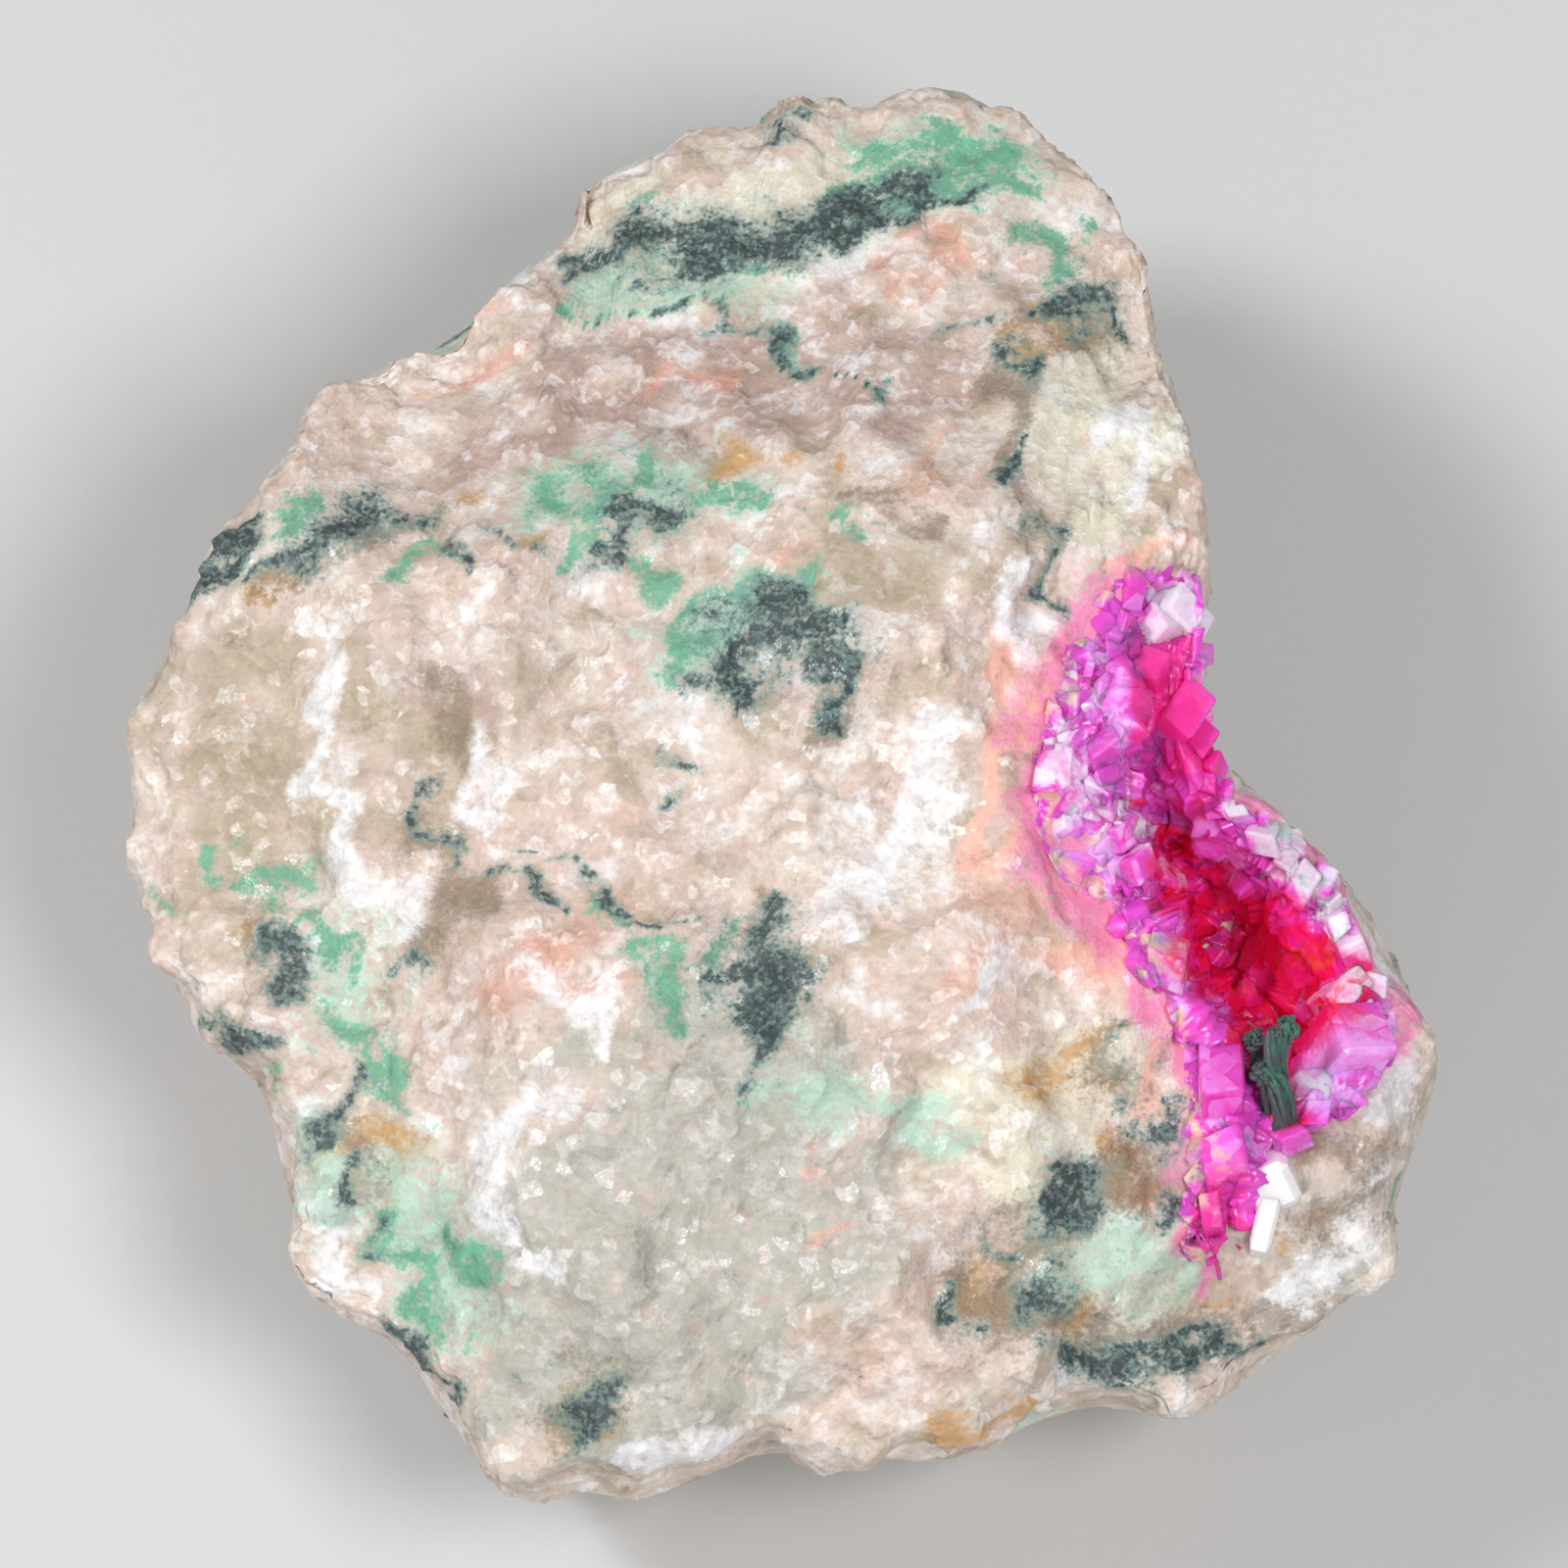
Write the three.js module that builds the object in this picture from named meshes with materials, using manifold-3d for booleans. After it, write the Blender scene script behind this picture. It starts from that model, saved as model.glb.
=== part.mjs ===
// A specimen of cobaltoan dolomite: a broken lump of pale dolomite host rock, a pocket in its right
// shoulder lined with a crust of pink crystals, a dark green tuft of malachite standing in the pocket's
// lower channel, and a pair of white crystals grown together below it.
//
// The stone is drawn on its face, as it is seen from the front and above: "across" runs to the right,
// "up" runs up the face and "toward" runs out of the face. A group then turns the face back, so that
// the stone lies on its flat underside with +Z up. Lengths are in millimetres, angles in degrees.
import * as THREE from "three";
import { mergeVertices } from "three/addons/utils/BufferGeometryUtils.js";
import Module from "manifold-3d";

const wasm = await Module();
wasm.setup();

// Driving dimensions of the stone
const FACE_TILT = 25; // the face leans back this far from lying level
const REST_DEPTH = 16; // from the middle of the outline straight down to the flat underside
const STONE_MIDDLE = [0, -1]; // the point of the face that the outline is measured round
const RIDGE = { up: 7.2, across: 0.06 }; // height of the ridge across the face, and how it climbs
const REAR_DROP = 0.56; // slope of the outline behind the ridge
const FRONT_RISE = 0.2; // slope of the outline below the middle
const FACE_DOME = 10; // the unbroken dome in front of the outline
const BACK_DOME = 22; // and behind it
const FACE_SQUARENESS = 4; // 2 is a dome, more is a flatter face with steeper flanks
const BACK_SQUARENESS = 2.6;
const STONE_DETAIL = 14; // subdivisions of the icosahedron that the stone is modelled on
const CENTRE_IN_PLAN = [-0.05, 1.05]; // middle of the stone's box, measured from the middle of the outline

// Driving dimensions of what has grown on it
const SEAT_GAP = 0.32; // clearance between the rock and what sits in it
const CRUST_THICKNESS = 0.7;
const CRUST_MIDDLE = 0.4; // share of its thickness down to which its crystals are rooted
const CRYSTAL_POINTS = 0.55; // how far the crust's small crystals stand up from it
const CRYSTAL_SIZE = [1.1, 1.7]; // smallest and largest edge of the scattered pink crystals
const RHOMB_RISE = 0.46; // how far a rhomb's edges rise along its axis, 0.58 would be a cube
const SCATTERED_CRYSTALS = 10;
const SCATTER_STEPS = { down: 0.7549, over: 0.5698, size: 0.618 }; // from one crystal to the next
const SCATTER_MARGIN = { down: 0.03, over: 0.06 }; // share of the pocket that stays clear at its edges
const SCATTER_LEAN = 24;
const SCATTER_TURN = 47;
const SCATTER_LIFT = 0.1; // how far the scattered crystals' middles stand over the crust

// The stone's outline as [across, up], counterclockwise from the pocket's right rim
const OUTLINE = [
  [15.6, -0.9], [14.3, 0.0], [13.3, 1.4], [13.1, 3.1], [13.4, 5.4], [13.1, 7.0], [12.7, 8.6],
  [12.7, 10.6], [11.8, 14.2], [10.7, 17.6], [9.7, 19.1], [7.2, 21.4], [5.3, 22.4], [3.9, 21.9],
  [2.3, 21.2], [0.0, 21.9], [-1.1, 21.0], [-3.4, 20.6], [-6.1, 19.3], [-6.9, 17.7], [-9.4, 15.3],
  [-13.6, 12.2], [-16.4, 9.0], [-18.1, 7.7], [-18.7, 6.0], [-19.4, 4.1], [-20.4, 1.5], [-20.6, -1.0],
  [-20.1, -4.7], [-18.5, -7.6], [-16.9, -8.6], [-16.2, -11.0], [-14.8, -15.2], [-11.7, -18.4],
  [-10.9, -19.8], [-8.9, -22.0], [-5.4, -22.4], [-3.1, -22.2], [-0.6, -21.2], [1.3, -21.3],
  [3.3, -20.7], [5.3, -21.3], [9.2, -19.8], [12.6, -19.7], [16.7, -17.1], [18.9, -15.2],
  [19.3, -13.4], [20.4, -10.5], [20.6, -9.2], [19.8, -6.9], [18.6, -4.2],
];

// Broken facets as planes: height above the outline at a point of the face, and slopes across and up.
const FACE_FACETS = [
  { name: "main face", at: [0, -1], height: 8.2, across: 0.02, up: -0.2 },
  { name: "upper slope", at: [0, 8.6], height: 6.2, across: -0.04, up: -0.42 },
  { name: "left lobe", at: [-12, 0], height: 7.6, across: 0.42, up: 0.0 },
  { name: "lower left flank", at: [-9, -13], height: 8.6, across: 0.5, up: 0.36 },
  { name: "foot of the face", at: [0, -18], height: 8.6, across: -0.05, up: 0.75 },
  { name: "lower right flank", at: [9, -14], height: 8.0, across: -0.42, up: 0.36 },
  { name: "right shoulder", at: [9, 10], height: 5.8, across: -0.55, up: -0.2 },
  { name: "pocket side", at: [10, -3], height: 7.4, across: -0.3, up: 0.02 },
];
const BACK_FACETS = [
  { name: "under the middle", at: [0, 0], height: 21.5, across: 0.0, up: 0.0 },
  { name: "rear wall", at: [0, 12], height: 12.5, across: 0.05, up: -0.62 },
  { name: "left wall", at: [-12, 0], height: 15.0, across: 0.8, up: 0.05 },
  { name: "right wall", at: [12, -2], height: 15.5, across: -0.85, up: 0.15 },
  { name: "front wall", at: [0, -14], height: 17.0, across: -0.08, up: 0.7 },
  { name: "rear right corner", at: [8, 9], height: 14.0, across: -0.5, up: -0.4 },
  { name: "front left corner", at: [-9, -9], height: 16.5, across: 0.5, up: 0.6 },
  { name: "front right corner", at: [11, -12], height: 13.5, across: -0.6, up: 0.5 },
];
const FACET_ROUNDING = 0.35;

// Chips struck off the face: where, height of the dished floor over the outline, and its slopes
const CHIP_DISH = 0.07; // how fast a chip's floor rises away from its middle, per millimetre squared
const CHIPS = [
  { name: "beside the step", at: [-10.6, -0.4], floor: 6.9, lean: [0.18, -0.1] },
  { name: "lobe's face", at: [-17.0, -1.4], floor: 5.0, lean: [0.42, 0.05] },
  { name: "under the left ore", at: [-14.6, 4.2], floor: 6.0, lean: [0.3, -0.2] },
  { name: "valley's head", at: [-14.4, -5.6], floor: 5.6, lean: [0.25, 0.22] },
  { name: "lower flank, upper", at: [-12.6, -10.0], floor: 6.4, lean: [0.4, 0.3] },
  { name: "lower flank, middle", at: [-11.6, -15.2], floor: 5.6, lean: [0.55, 0.3] },
  { name: "plateau's edge", at: [-7.6, -9.4], floor: 9.0, lean: [0.12, -0.1] },
  { name: "grey hollow", at: [-1.4, -16.0], floor: 8.4, lean: [-0.1, -0.2] },
  { name: "bottom left", at: [-7.0, -19.6], floor: 6.8, lean: [0.15, 0.6] },
  { name: "bottom middle", at: [1.6, -19.4], floor: 6.6, lean: [-0.05, 0.6] },
  { name: "lower right swelling", at: [6.6, -15.0], floor: 7.6, lean: [-0.3, 0.2] },
  { name: "lower right edge", at: [13.6, -16.4], floor: 4.4, lean: [-0.5, 0.35] },
  { name: "mint patch", at: [10.4, -14.4], floor: 6.6, lean: [-0.25, 0.1] },
  { name: "beside the slate patch", at: [2.8, -8.4], floor: 9.3, lean: [-0.1, -0.25] },
  { name: "centre", at: [4.4, -1.2], floor: 7.7, lean: [0.05, -0.2] },
  { name: "under the ore", at: [-2.4, 0.4], floor: 7.4, lean: [0.1, -0.1] },
  { name: "under the ridge", at: [-6.4, 5.4], floor: 6.4, lean: [-0.1, -0.3] },
  { name: "ridge's right end", at: [8.4, 5.6], floor: 5.7, lean: [-0.3, -0.05] },
  { name: "right facets, lower", at: [9.2, 9.6], floor: 4.8, lean: [-0.45, -0.15] },
  { name: "right facets, upper", at: [9.4, 14.0], floor: 3.4, lean: [-0.5, -0.3] },
  { name: "slope, left", at: [-10.6, 9.8], floor: 4.6, lean: [0.1, -0.55] },
  { name: "slope, middle", at: [-2.6, 12.2], floor: 4.2, lean: [0.12, -0.4] },
  { name: "slope, right", at: [4.6, 13.4], floor: 3.8, lean: [-0.15, -0.35] },
  { name: "slope, top", at: [1.6, 18.0], floor: 1.7, lean: [0.1, -0.35] },
];

// Hollows and swellings of the face: where, half lengths along and across, turn, and height
const RELIEF = [
  { name: "long scoop on the left", at: [-10.4, -0.8], half: [4.4, 1.9], turn: 80, height: -1.0 },
  { name: "valley beside the left lobe", at: [-14.8, -3.6], half: [5.2, 1.0], turn: 97, height: -0.9 },
  { name: "left lobe", at: [-17.2, -2.4], half: [4.0, 2.0], turn: 90, height: 0.6 },
  { name: "grey hollow", at: [-0.4, -15.2], half: [5.0, 2.2], turn: 38, height: -1.2 },
  { name: "swelling above the grey hollow", at: [-4.5, -11.0], half: [4.5, 2.6], turn: 30, height: 0.5 },
  { name: "lower right swelling", at: [5.0, -17.2], half: [4.6, 1.9], turn: 30, height: 0.8 },
  { name: "hollow under the ridge", at: [-4.6, 5.6], half: [5.2, 1.2], turn: 4, height: -0.7 },
  { name: "swelling beside the ore", at: [5.0, 4.6], half: [3.4, 2.6], turn: 20, height: 0.7 },
  { name: "ore pit", at: [-1.2, 4.0], half: [1.9, 1.2], turn: 40, height: -0.7 },
  { name: "ridge crest, left", at: [-9.5, 8.0], half: [5.5, 0.9], turn: 8, height: 0.5 },
  { name: "ridge crest, right", at: [4.5, 8.9], half: [5.5, 0.8], turn: 2, height: 0.5 },
  { name: "slope hollow", at: [-4.0, 12.4], half: [6.5, 1.6], turn: 22, height: -0.6 },
  { name: "band on the slope", at: [0.5, 16.6], half: [6.5, 1.1], turn: 17, height: -0.7 },
  { name: "upper knob", at: [5.2, 19.6], half: [2.4, 1.8], turn: 60, height: 0.8 },
  { name: "right shoulder facet", at: [8.8, 14.6], half: [2.0, 3.0], turn: 10, height: 0.5 },
  { name: "centre swelling", at: [2.6, -3.4], half: [3.6, 3.0], turn: 120, height: 0.6 },
  { name: "dip beside the ore spur", at: [-0.8, -6.8], half: [1.4, 3.0], turn: 100, height: -0.6 },
  { name: "lower flank ledge", at: [-13.0, -12.6], half: [4.6, 1.1], turn: 112, height: 0.6 },
  { name: "notch under the left lobe", at: [-16.2, -8.8], half: [2.0, 0.9], turn: 10, height: -1.0 },
  { name: "pocket's lower lip", at: [16.8, -13.0], half: [2.6, 1.5], turn: 60, height: 0.6 },
];

// The pocket from top to bottom. Each row gives the crust's left edge, its right edge, where the lip
// drops away on the left edge's side, measured across, how deep the rock is hollowed, and how far the
// crystals overhang a right edge that is free because no rock lies beyond it.
const POCKET_ROWS = [
  { left: [11.5, 7.2], right: [12.8, 7.0], lip: 11.8, depth: 0.45 },
  { left: [10.0, 6.2], right: [13.5, 6.2], lip: 11.0, depth: 0.9, open: 0.9 },
  { left: [9.2, 4.4], right: [13.5, 4.6], lip: 10.5, depth: 1.5, open: 0.9 },
  { left: [8.4, 2.6], right: [13.3, 2.9], lip: 10.4, depth: 2.0, open: 0.9 },
  { left: [7.9, 0.9], right: [13.4, 1.3], lip: 10.5, depth: 2.6, open: 0.9 },
  { left: [7.9, -1.0], right: [14.6, -0.5], lip: 10.5, depth: 4.8 },
  { left: [8.7, -2.9], right: [16.6, -2.0], lip: 10.8, depth: 7.0 },
  { left: [10.1, -4.2], right: [17.8, -3.4], lip: 11.0, depth: 8.6 },
  { left: [11.1, -5.6], right: [18.7, -5.1], lip: 11.5, depth: 8.8 },
  { left: [12.0, -7.2], right: [19.3, -7.0], lip: 12.4, depth: 7.2 },
  { left: [12.5, -8.8], right: [19.4, -8.6], lip: 13.6, depth: 4.2 },
  { left: [12.7, -10.5], right: [17.9, -10.2], lip: 14.0, depth: 2.0 },
  { left: [12.8, -12.2], right: [15.0, -12.0], lip: 13.5, depth: 1.2 },
  { left: [12.7, -14.2], right: [14.7, -14.2], lip: 13.4, depth: 1.0 },
  { left: [13.2, -15.8], right: [14.5, -15.6], lip: 13.7, depth: 0.7 },
];
const CRYSTAL_STEPS = [151.7, 83.9]; // uneven enough that the crystal points never fall into rows
const LIP_RECESS = 0.5; // how far the crust is let into the rock outside the lip
const LIP_STEEPNESS = 0.24; // share of the pocket's width that its left wall takes
const RIGHT_WALL_BEND = 1.5; // over 1 the right wall is steeper at its rim than at its foot
const EDGE_SHARE = 0.35; // share of the crust's thickness that is left at its edges
const EDGE_STEEPNESS = 6; // how soon it reaches its full thickness
const EDGE_INSET = 0.012; // share of the pocket at its edges where no crystal overhangs the crust
const STEEPEST = 0.3; // cosine of the steepest wall that the crust's thickness is kept on
const SEAT_STEPS = [24, 11]; // rows and columns of the seat that rock and crust share

// Large crystals that show singly: where on the face, edge, lift over the crust, lean, and turn
const LARGE_CRYSTALS = [
  { name: "lower left block", at: [13.8, -9.3], edge: 2.1, lift: 0.3, lean: [20, -18], turn: 15 },
  { name: "lower right block", at: [17.7, -8.5], edge: 2.3, lift: 0.4, lean: [-14, 22], turn: 50 },
  { name: "upper right knob", at: [12.9, 5.2], edge: 1.7, lift: 0.3, lean: [12, 20], turn: 25 },
  { name: "knob's left neighbour", at: [11.6, 4.6], edge: 1.6, lift: 0.2, lean: [-10, -12], turn: 70 },
  { name: "lip block", at: [10.9, -2.6], edge: 1.6, lift: 0.2, lean: [10, -20], turn: 35 },
  { name: "lip edge block", at: [12.0, -5.8], edge: 1.5, lift: 0.2, lean: [-8, -14], turn: 5 },
  { name: "wall block", at: [12.6, 2.2], edge: 1.5, lift: 0.2, lean: [0, 25], turn: 40 },
  { name: "rim block", at: [15.3, -1.7], edge: 1.3, lift: 0.2, lean: [20, 15], turn: 60 },
  { name: "lower strip block", at: [13.7, -13.6], edge: 1.2, lift: 0.2, lean: [10, 5], turn: 20 },
];

// Strands of the malachite tuft: root and tip on the face, thickness at the root and curl at the tip
const TUFT_ROOT_DEPTH = -0.5;
const KNEE = { along: 0.45, rise: 0.12 }; // where a strand bends first, and by what share of its rise
const STRAND_SIDES = 6;
const STRAND_STEPS = 7;
const STRAND_TAPER = 0.55; // share of the thickness lost at the tip
const TUFT_STRANDS = [
  { root: [15.5, -10.9], tip: [15.7, -7.6], thick: 0.66, rise: 2.5, curl: [0.6, 0.1] },
  { root: [15.2, -9.9], tip: [15.0, -7.9], thick: 0.56, rise: 2.2, curl: [-0.5, 0.1] },
  { root: [15.7, -11.4], tip: [15.4, -9.2], thick: 0.5, rise: 1.2, curl: [-0.4, 0.1] },
];

// White crystals: where, half lengths across, up and out, and the turn of the block
const WHITE_PROUD = 0.3; // how far their middles stand over the rock's face
const WHITE_CRYSTALS = [
  { at: [15.75, -12.6], half: [0.8, 0.9, 0.8], turn: 12 },
  { at: [15.35, -14.2], half: [0.45, 1.0, 0.6], turn: -14 },
];

// Rounded lumps of dark ore grown together on the lower right: where, and radii across, up and out
const ORE_LUMPS = [
  { at: [9.6, -18.2], radii: [1.0, 0.7, 0.7] },
  { at: [10.7, -18.4], radii: [0.8, 0.7, 0.8] },
  { at: [11.9, -18.0], radii: [0.9, 0.6, 0.7] },
];

const WELD = 0.005; // points closer than this are one
const TINY = 0.01;
const SLENDEREST = 0.1; // flatness under which a direction counts as straight toward the front or back
const BLOCK = 80; // larger than the whole stone
const SMOOTHED_OUTLINE_POINTS = 240;
const SEARCH_STEPS = 40;
const NORMAL_STEP = 0.05;
const LUMPS = [
  { length: 9.0, height: 0.4 },
  { length: 5.2, height: 0.28 },
  { length: 3.1, height: 0.16 },
];
const LUMP_BENDS = [
  { far: 1.7, fast: 0.63 },
  { far: 1.4, fast: 0.7 },
  { far: 1.5, fast: 0.58 },
];
const RIM_CALM = 0.35; // share of the lumps' height that is left at the outline
const RIM_THICKNESS = 0.35; // share of the dome that no facet or chip cuts away
const FLANK_LUMPS = 1.2; // how much more they show sideways on the steep flanks

const TOWARD = new THREE.Vector3(0, 0, 1);
const radians = THREE.MathUtils.degToRad;
const smooth = THREE.MathUtils.smoothstep;
const lerp = THREE.MathUtils.lerp;
const share = (value) => value - Math.floor(value);

// Solids

// A closed geometry as a solid, its normals and seams dropped
function solid(geometry) {
  const bare = geometry.clone();
  bare.deleteAttribute("normal");
  bare.deleteAttribute("uv");
  const merged = mergeVertices(bare, WELD);
  return new wasm.Manifold(
    new wasm.Mesh({
      numProp: 3,
      vertProperties: merged.attributes.position.array,
      triVerts: new Uint32Array(merged.index.array),
    }),
  );
}

function joined(solids) {
  return solids.reduce((all, one) => all.add(one));
}

function geometryOf(shape) {
  const { vertProperties, triVerts } = shape.getMesh();
  const geometry = new THREE.BufferGeometry();
  geometry.setAttribute("position", new THREE.BufferAttribute(vertProperties, 3));
  geometry.setIndex(new THREE.BufferAttribute(triVerts, 1));
  return geometry;
}

// The largest of a solid's bodies, welded, without the crumbs that a cut can leave
function withoutCrumbs(shape) {
  const bodies = solid(geometryOf(shape)).decompose();
  return bodies.reduce((largest, body) => (body.volume() > largest.volume() ? body : largest));
}

function meshOf(name, shape, finish) {
  const geometry = geometryOf(withoutCrumbs(shape)).toNonIndexed();
  geometry.computeVertexNormals();
  const mesh = new THREE.Mesh(geometry, new THREE.MeshStandardMaterial(finish));
  mesh.name = name;
  return mesh;
}

// Moves every vertex of a geometry to where place says
function reshaped(geometry, place) {
  const positions = geometry.attributes.position;
  const vertex = new THREE.Vector3();
  for (let i = 0; i < positions.count; i++) {
    vertex.fromBufferAttribute(positions, i);
    positions.setXYZ(i, ...place(vertex));
  }
  return geometry;
}

// The stone's form

const outlineSamples = new THREE.CatmullRomCurve3(
  OUTLINE.map(([across, up]) => new THREE.Vector3(across, up, 0)),
  true,
)
  .getSpacedPoints(SMOOTHED_OUTLINE_POINTS)
  .slice(1)
  .map((point) => {
    const across = point.x - STONE_MIDDLE[0];
    const up = point.y - STONE_MIDDLE[1];
    return { turn: Math.atan2(up, across), reach: Math.hypot(across, up) };
  })
  .sort((one, other) => one.turn - other.turn);

// How far the outline lies from the stone's middle in a direction of the face
function outlineReach(turn) {
  const count = outlineSamples.length;
  const above = outlineSamples.findIndex((sample) => sample.turn > turn);
  const after = outlineSamples[above === -1 ? 0 : above];
  const before = outlineSamples[((above === -1 ? 0 : above) + count - 1) % count];
  const whole = 2 * Math.PI;
  const span = (after.turn - before.turn + whole) % whole;
  const along = ((turn - before.turn + whole) % whole) / span;
  return before.reach + (after.reach - before.reach) * along;
}

// How far toward the front the outline lies: level at the sides, falling back behind the ridge
function rimHeight(across, up) {
  const behind = up - RIDGE.up - RIDGE.across * across;
  return FRONT_RISE * Math.max(-up, 0) - REAR_DROP * Math.max(behind, 0);
}

// Smallest of several heights, rounded where two of them cross
function softSmallest(heights) {
  const least = Math.min(...heights);
  const total = heights.reduce((sum, height) => sum + Math.exp((least - height) / FACET_ROUNDING), 0);
  return least - FACET_ROUNDING * Math.log(total);
}

function facetHeights(facets, across, up) {
  return facets.map(
    (facet) => facet.height + facet.across * (across - facet.at[0]) + facet.up * (up - facet.at[1]),
  );
}

// Hollows and swellings of the face, each an oval bell
function relief(across, up) {
  return RELIEF.reduce((sum, { at, half, turn, height }) => {
    const cos = Math.cos(radians(turn));
    const sin = Math.sin(radians(turn));
    const along = ((across - at[0]) * cos + (up - at[1]) * sin) / half[0];
    const aside = ((up - at[1]) * cos - (across - at[0]) * sin) / half[1];
    return sum + height * Math.exp(-along * along - aside * aside);
  }, 0);
}

// Uneven lumps all over the stone: waves of three lengths along each direction, each of them bent by
// a wave along the next direction
function lumps(across, up, toward) {
  const along = [across, up, toward];
  return LUMPS.reduce((sum, { length, height }, i) => {
    const step = (2 * Math.PI) / length;
    const waves = LUMP_BENDS.map(({ far, fast }, j) => {
      const bend = far * Math.sin(along[(j + 1) % 3] * step * fast + (j + 1) * i);
      return Math.sin(along[j] * step + bend);
    });
    return sum + (height * (waves[0] + waves[1] + waves[2])) / 2;
  }, 0);
}

// The dished floors of the chips that were struck off the face, where the lowest one counts
function chipped(across, up) {
  return CHIPS.reduce((least, { at, floor, lean }) => {
    const [x, y] = [across - at[0], up - at[1]];
    return Math.min(least, floor + lean[0] * x + lean[1] * y + CHIP_DISH * (x * x + y * y));
  }, Infinity);
}

// Height of a superellipse at a share of its reach
function domeHeight(reachShare, squareness) {
  return (1 - Math.min(reachShare, 1) ** squareness) ** (1 / squareness);
}

// The stone's front surface over a point of the face
function faceHeight(across, up) {
  const fromMiddle = [across - STONE_MIDDLE[0], up - STONE_MIDDLE[1]];
  const reach = outlineReach(Math.atan2(fromMiddle[1], fromMiddle[0]));
  const dome = domeHeight(Math.hypot(...fromMiddle) / reach, FACE_SQUARENESS);
  const top = softSmallest([FACE_DOME * dome, ...facetHeights(FACE_FACETS, across, up)]);
  const calm = RIM_CALM + (1 - RIM_CALM) * dome;
  const whole = top + dome * relief(across, up) + calm * lumps(across, up, 0);
  const broken = Math.min(whole, chipped(across, up));
  return rimHeight(across, up) + Math.max(broken, RIM_THICKNESS * FACE_DOME * dome);
}

function backHeight(across, up, dome) {
  const depth = softSmallest([BACK_DOME * dome, ...facetHeights(BACK_FACETS, across, up)]);
  const calm = RIM_CALM + (1 - RIM_CALM) * dome;
  return rimHeight(across, up) - depth + calm * lumps(across, up, BACK_DOME);
}

// A point of the stone in a direction from its middle: the direction is pushed out onto a
// superellipse, whose foot is the outline
function stonePoint({ x, y, z }) {
  const flat = Math.hypot(x, y);
  const squareness = z > 0 ? FACE_SQUARENESS : BACK_SQUARENESS;
  const size = (flat ** squareness + Math.abs(z) ** squareness) ** (1 / squareness);
  const turn = Math.atan2(y, x);
  const dome = Math.abs(z) / size;
  const flank = FLANK_LUMPS * 4 * dome * (1 - dome);
  const reach = (outlineReach(turn) * flat) / size;
  const across = STONE_MIDDLE[0] + reach * Math.cos(turn);
  const up = STONE_MIDDLE[1] + reach * Math.sin(turn);
  const toward = z > 0 ? faceHeight(across, up) : backHeight(across, up, dome);
  const push = (flank * lumps(across, up, toward)) / Math.max(flat, SLENDEREST);
  return [across + push * x, up + push * y, toward];
}

function wholeStone() {
  return solid(reshaped(new THREE.IcosahedronGeometry(1, STONE_DETAIL), stonePoint));
}

// Dark ore that stands out of the rock in small rounded lumps
function oreLumps() {
  return ORE_LUMPS.map(({ at, radii }) => {
    const lump = new THREE.IcosahedronGeometry(1, 1).scale(...radii);
    return solid(lump.translate(...at, faceHeight(...at)));
  });
}

// Everything below the flat underside, as a block in the face's own directions
function belowTheUnderside() {
  const block = new THREE.BoxGeometry(BLOCK, BLOCK, BLOCK);
  block.translate(0, 0, -REST_DEPTH - BLOCK / 2);
  return solid(block.rotateX(radians(-FACE_TILT)));
}

// The pocket and its crust

const rowCurve = (values) => new THREE.CatmullRomCurve3(values.map((v) => new THREE.Vector3(...v)));
const leftEdge = rowCurve(POCKET_ROWS.map((row) => [...row.left, 0]));
const rightEdge = rowCurve(POCKET_ROWS.map((row) => [...row.right, 0]));
const profile = rowCurve(POCKET_ROWS.map((row) => [row.lip, row.depth, row.open ?? 0]));

// A point of the rock's hollowed surface, by its share of the way down the rows and across them
function seatPoint(down, over) {
  const left = leftEdge.getPoint(down);
  const right = rightEdge.getPoint(down);
  const { x: lip, y: depth } = profile.getPoint(down);
  const lipShare = (lip - left.x) / (right.x - left.x);
  const floorShare = lipShare + LIP_STEEPNESS * (1 - lipShare);
  const wall = smooth(over, lipShare, floorShare);
  const rise = smooth(over, floorShare, 1) ** RIGHT_WALL_BEND;
  const hollow = wall * (1 - rise);
  const sunk = LIP_RECESS + Math.max(depth - LIP_RECESS, 0) * hollow;
  const point = left.lerp(right, over);
  point.z = faceHeight(point.x, point.y) - sunk;
  return point;
}

// Outward direction of the seat, taken over a wide enough step to be even
function seatNormal(down, over) {
  const low = (value) => Math.max(value - NORMAL_STEP, 0);
  const high = (value) => Math.min(value + NORMAL_STEP, 1);
  const rowward = seatPoint(low(down), over).sub(seatPoint(high(down), over));
  const columnward = seatPoint(down, high(over)).sub(seatPoint(down, low(over)));
  return columnward.cross(rowward).normalize();
}

// A point over the seat: straight toward the front, by enough more on a steep wall that the
// thickness square to the wall stays the same. At the crust's edges it is less.
function overSeat(down, over, thickness) {
  const inside = smooth(EDGE_STEEPNESS * Math.min(down, 1 - down, over, 1 - over), 0, 1);
  const lift = SEAT_GAP + thickness * (EDGE_SHARE + (1 - EDGE_SHARE) * inside);
  const point = seatPoint(down, over);
  point.z += lift / Math.max(seatNormal(down, over).z, STEEPEST);
  return point;
}

// A block divided into rows and columns and bent onto the seat, between a lower and an upper
// surface. Rings of extra divisions run on past the seat's own edges.
function seatBlock(lower, upper, rings = 0) {
  const [rows, columns] = SEAT_STEPS;
  const block = new THREE.BoxGeometry(1, 1, 1, columns + 2 * rings, rows + 2 * rings, 1);
  return solid(
    reshaped(block, ({ x, y, z }) => {
      const surface = z < 0 ? lower : upper;
      const down = 0.5 - y * (1 + (2 * rings) / rows);
      const over = 0.5 + x * (1 + (2 * rings) / columns);
      return surface(down, over).toArray();
    }),
  );
}

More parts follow.
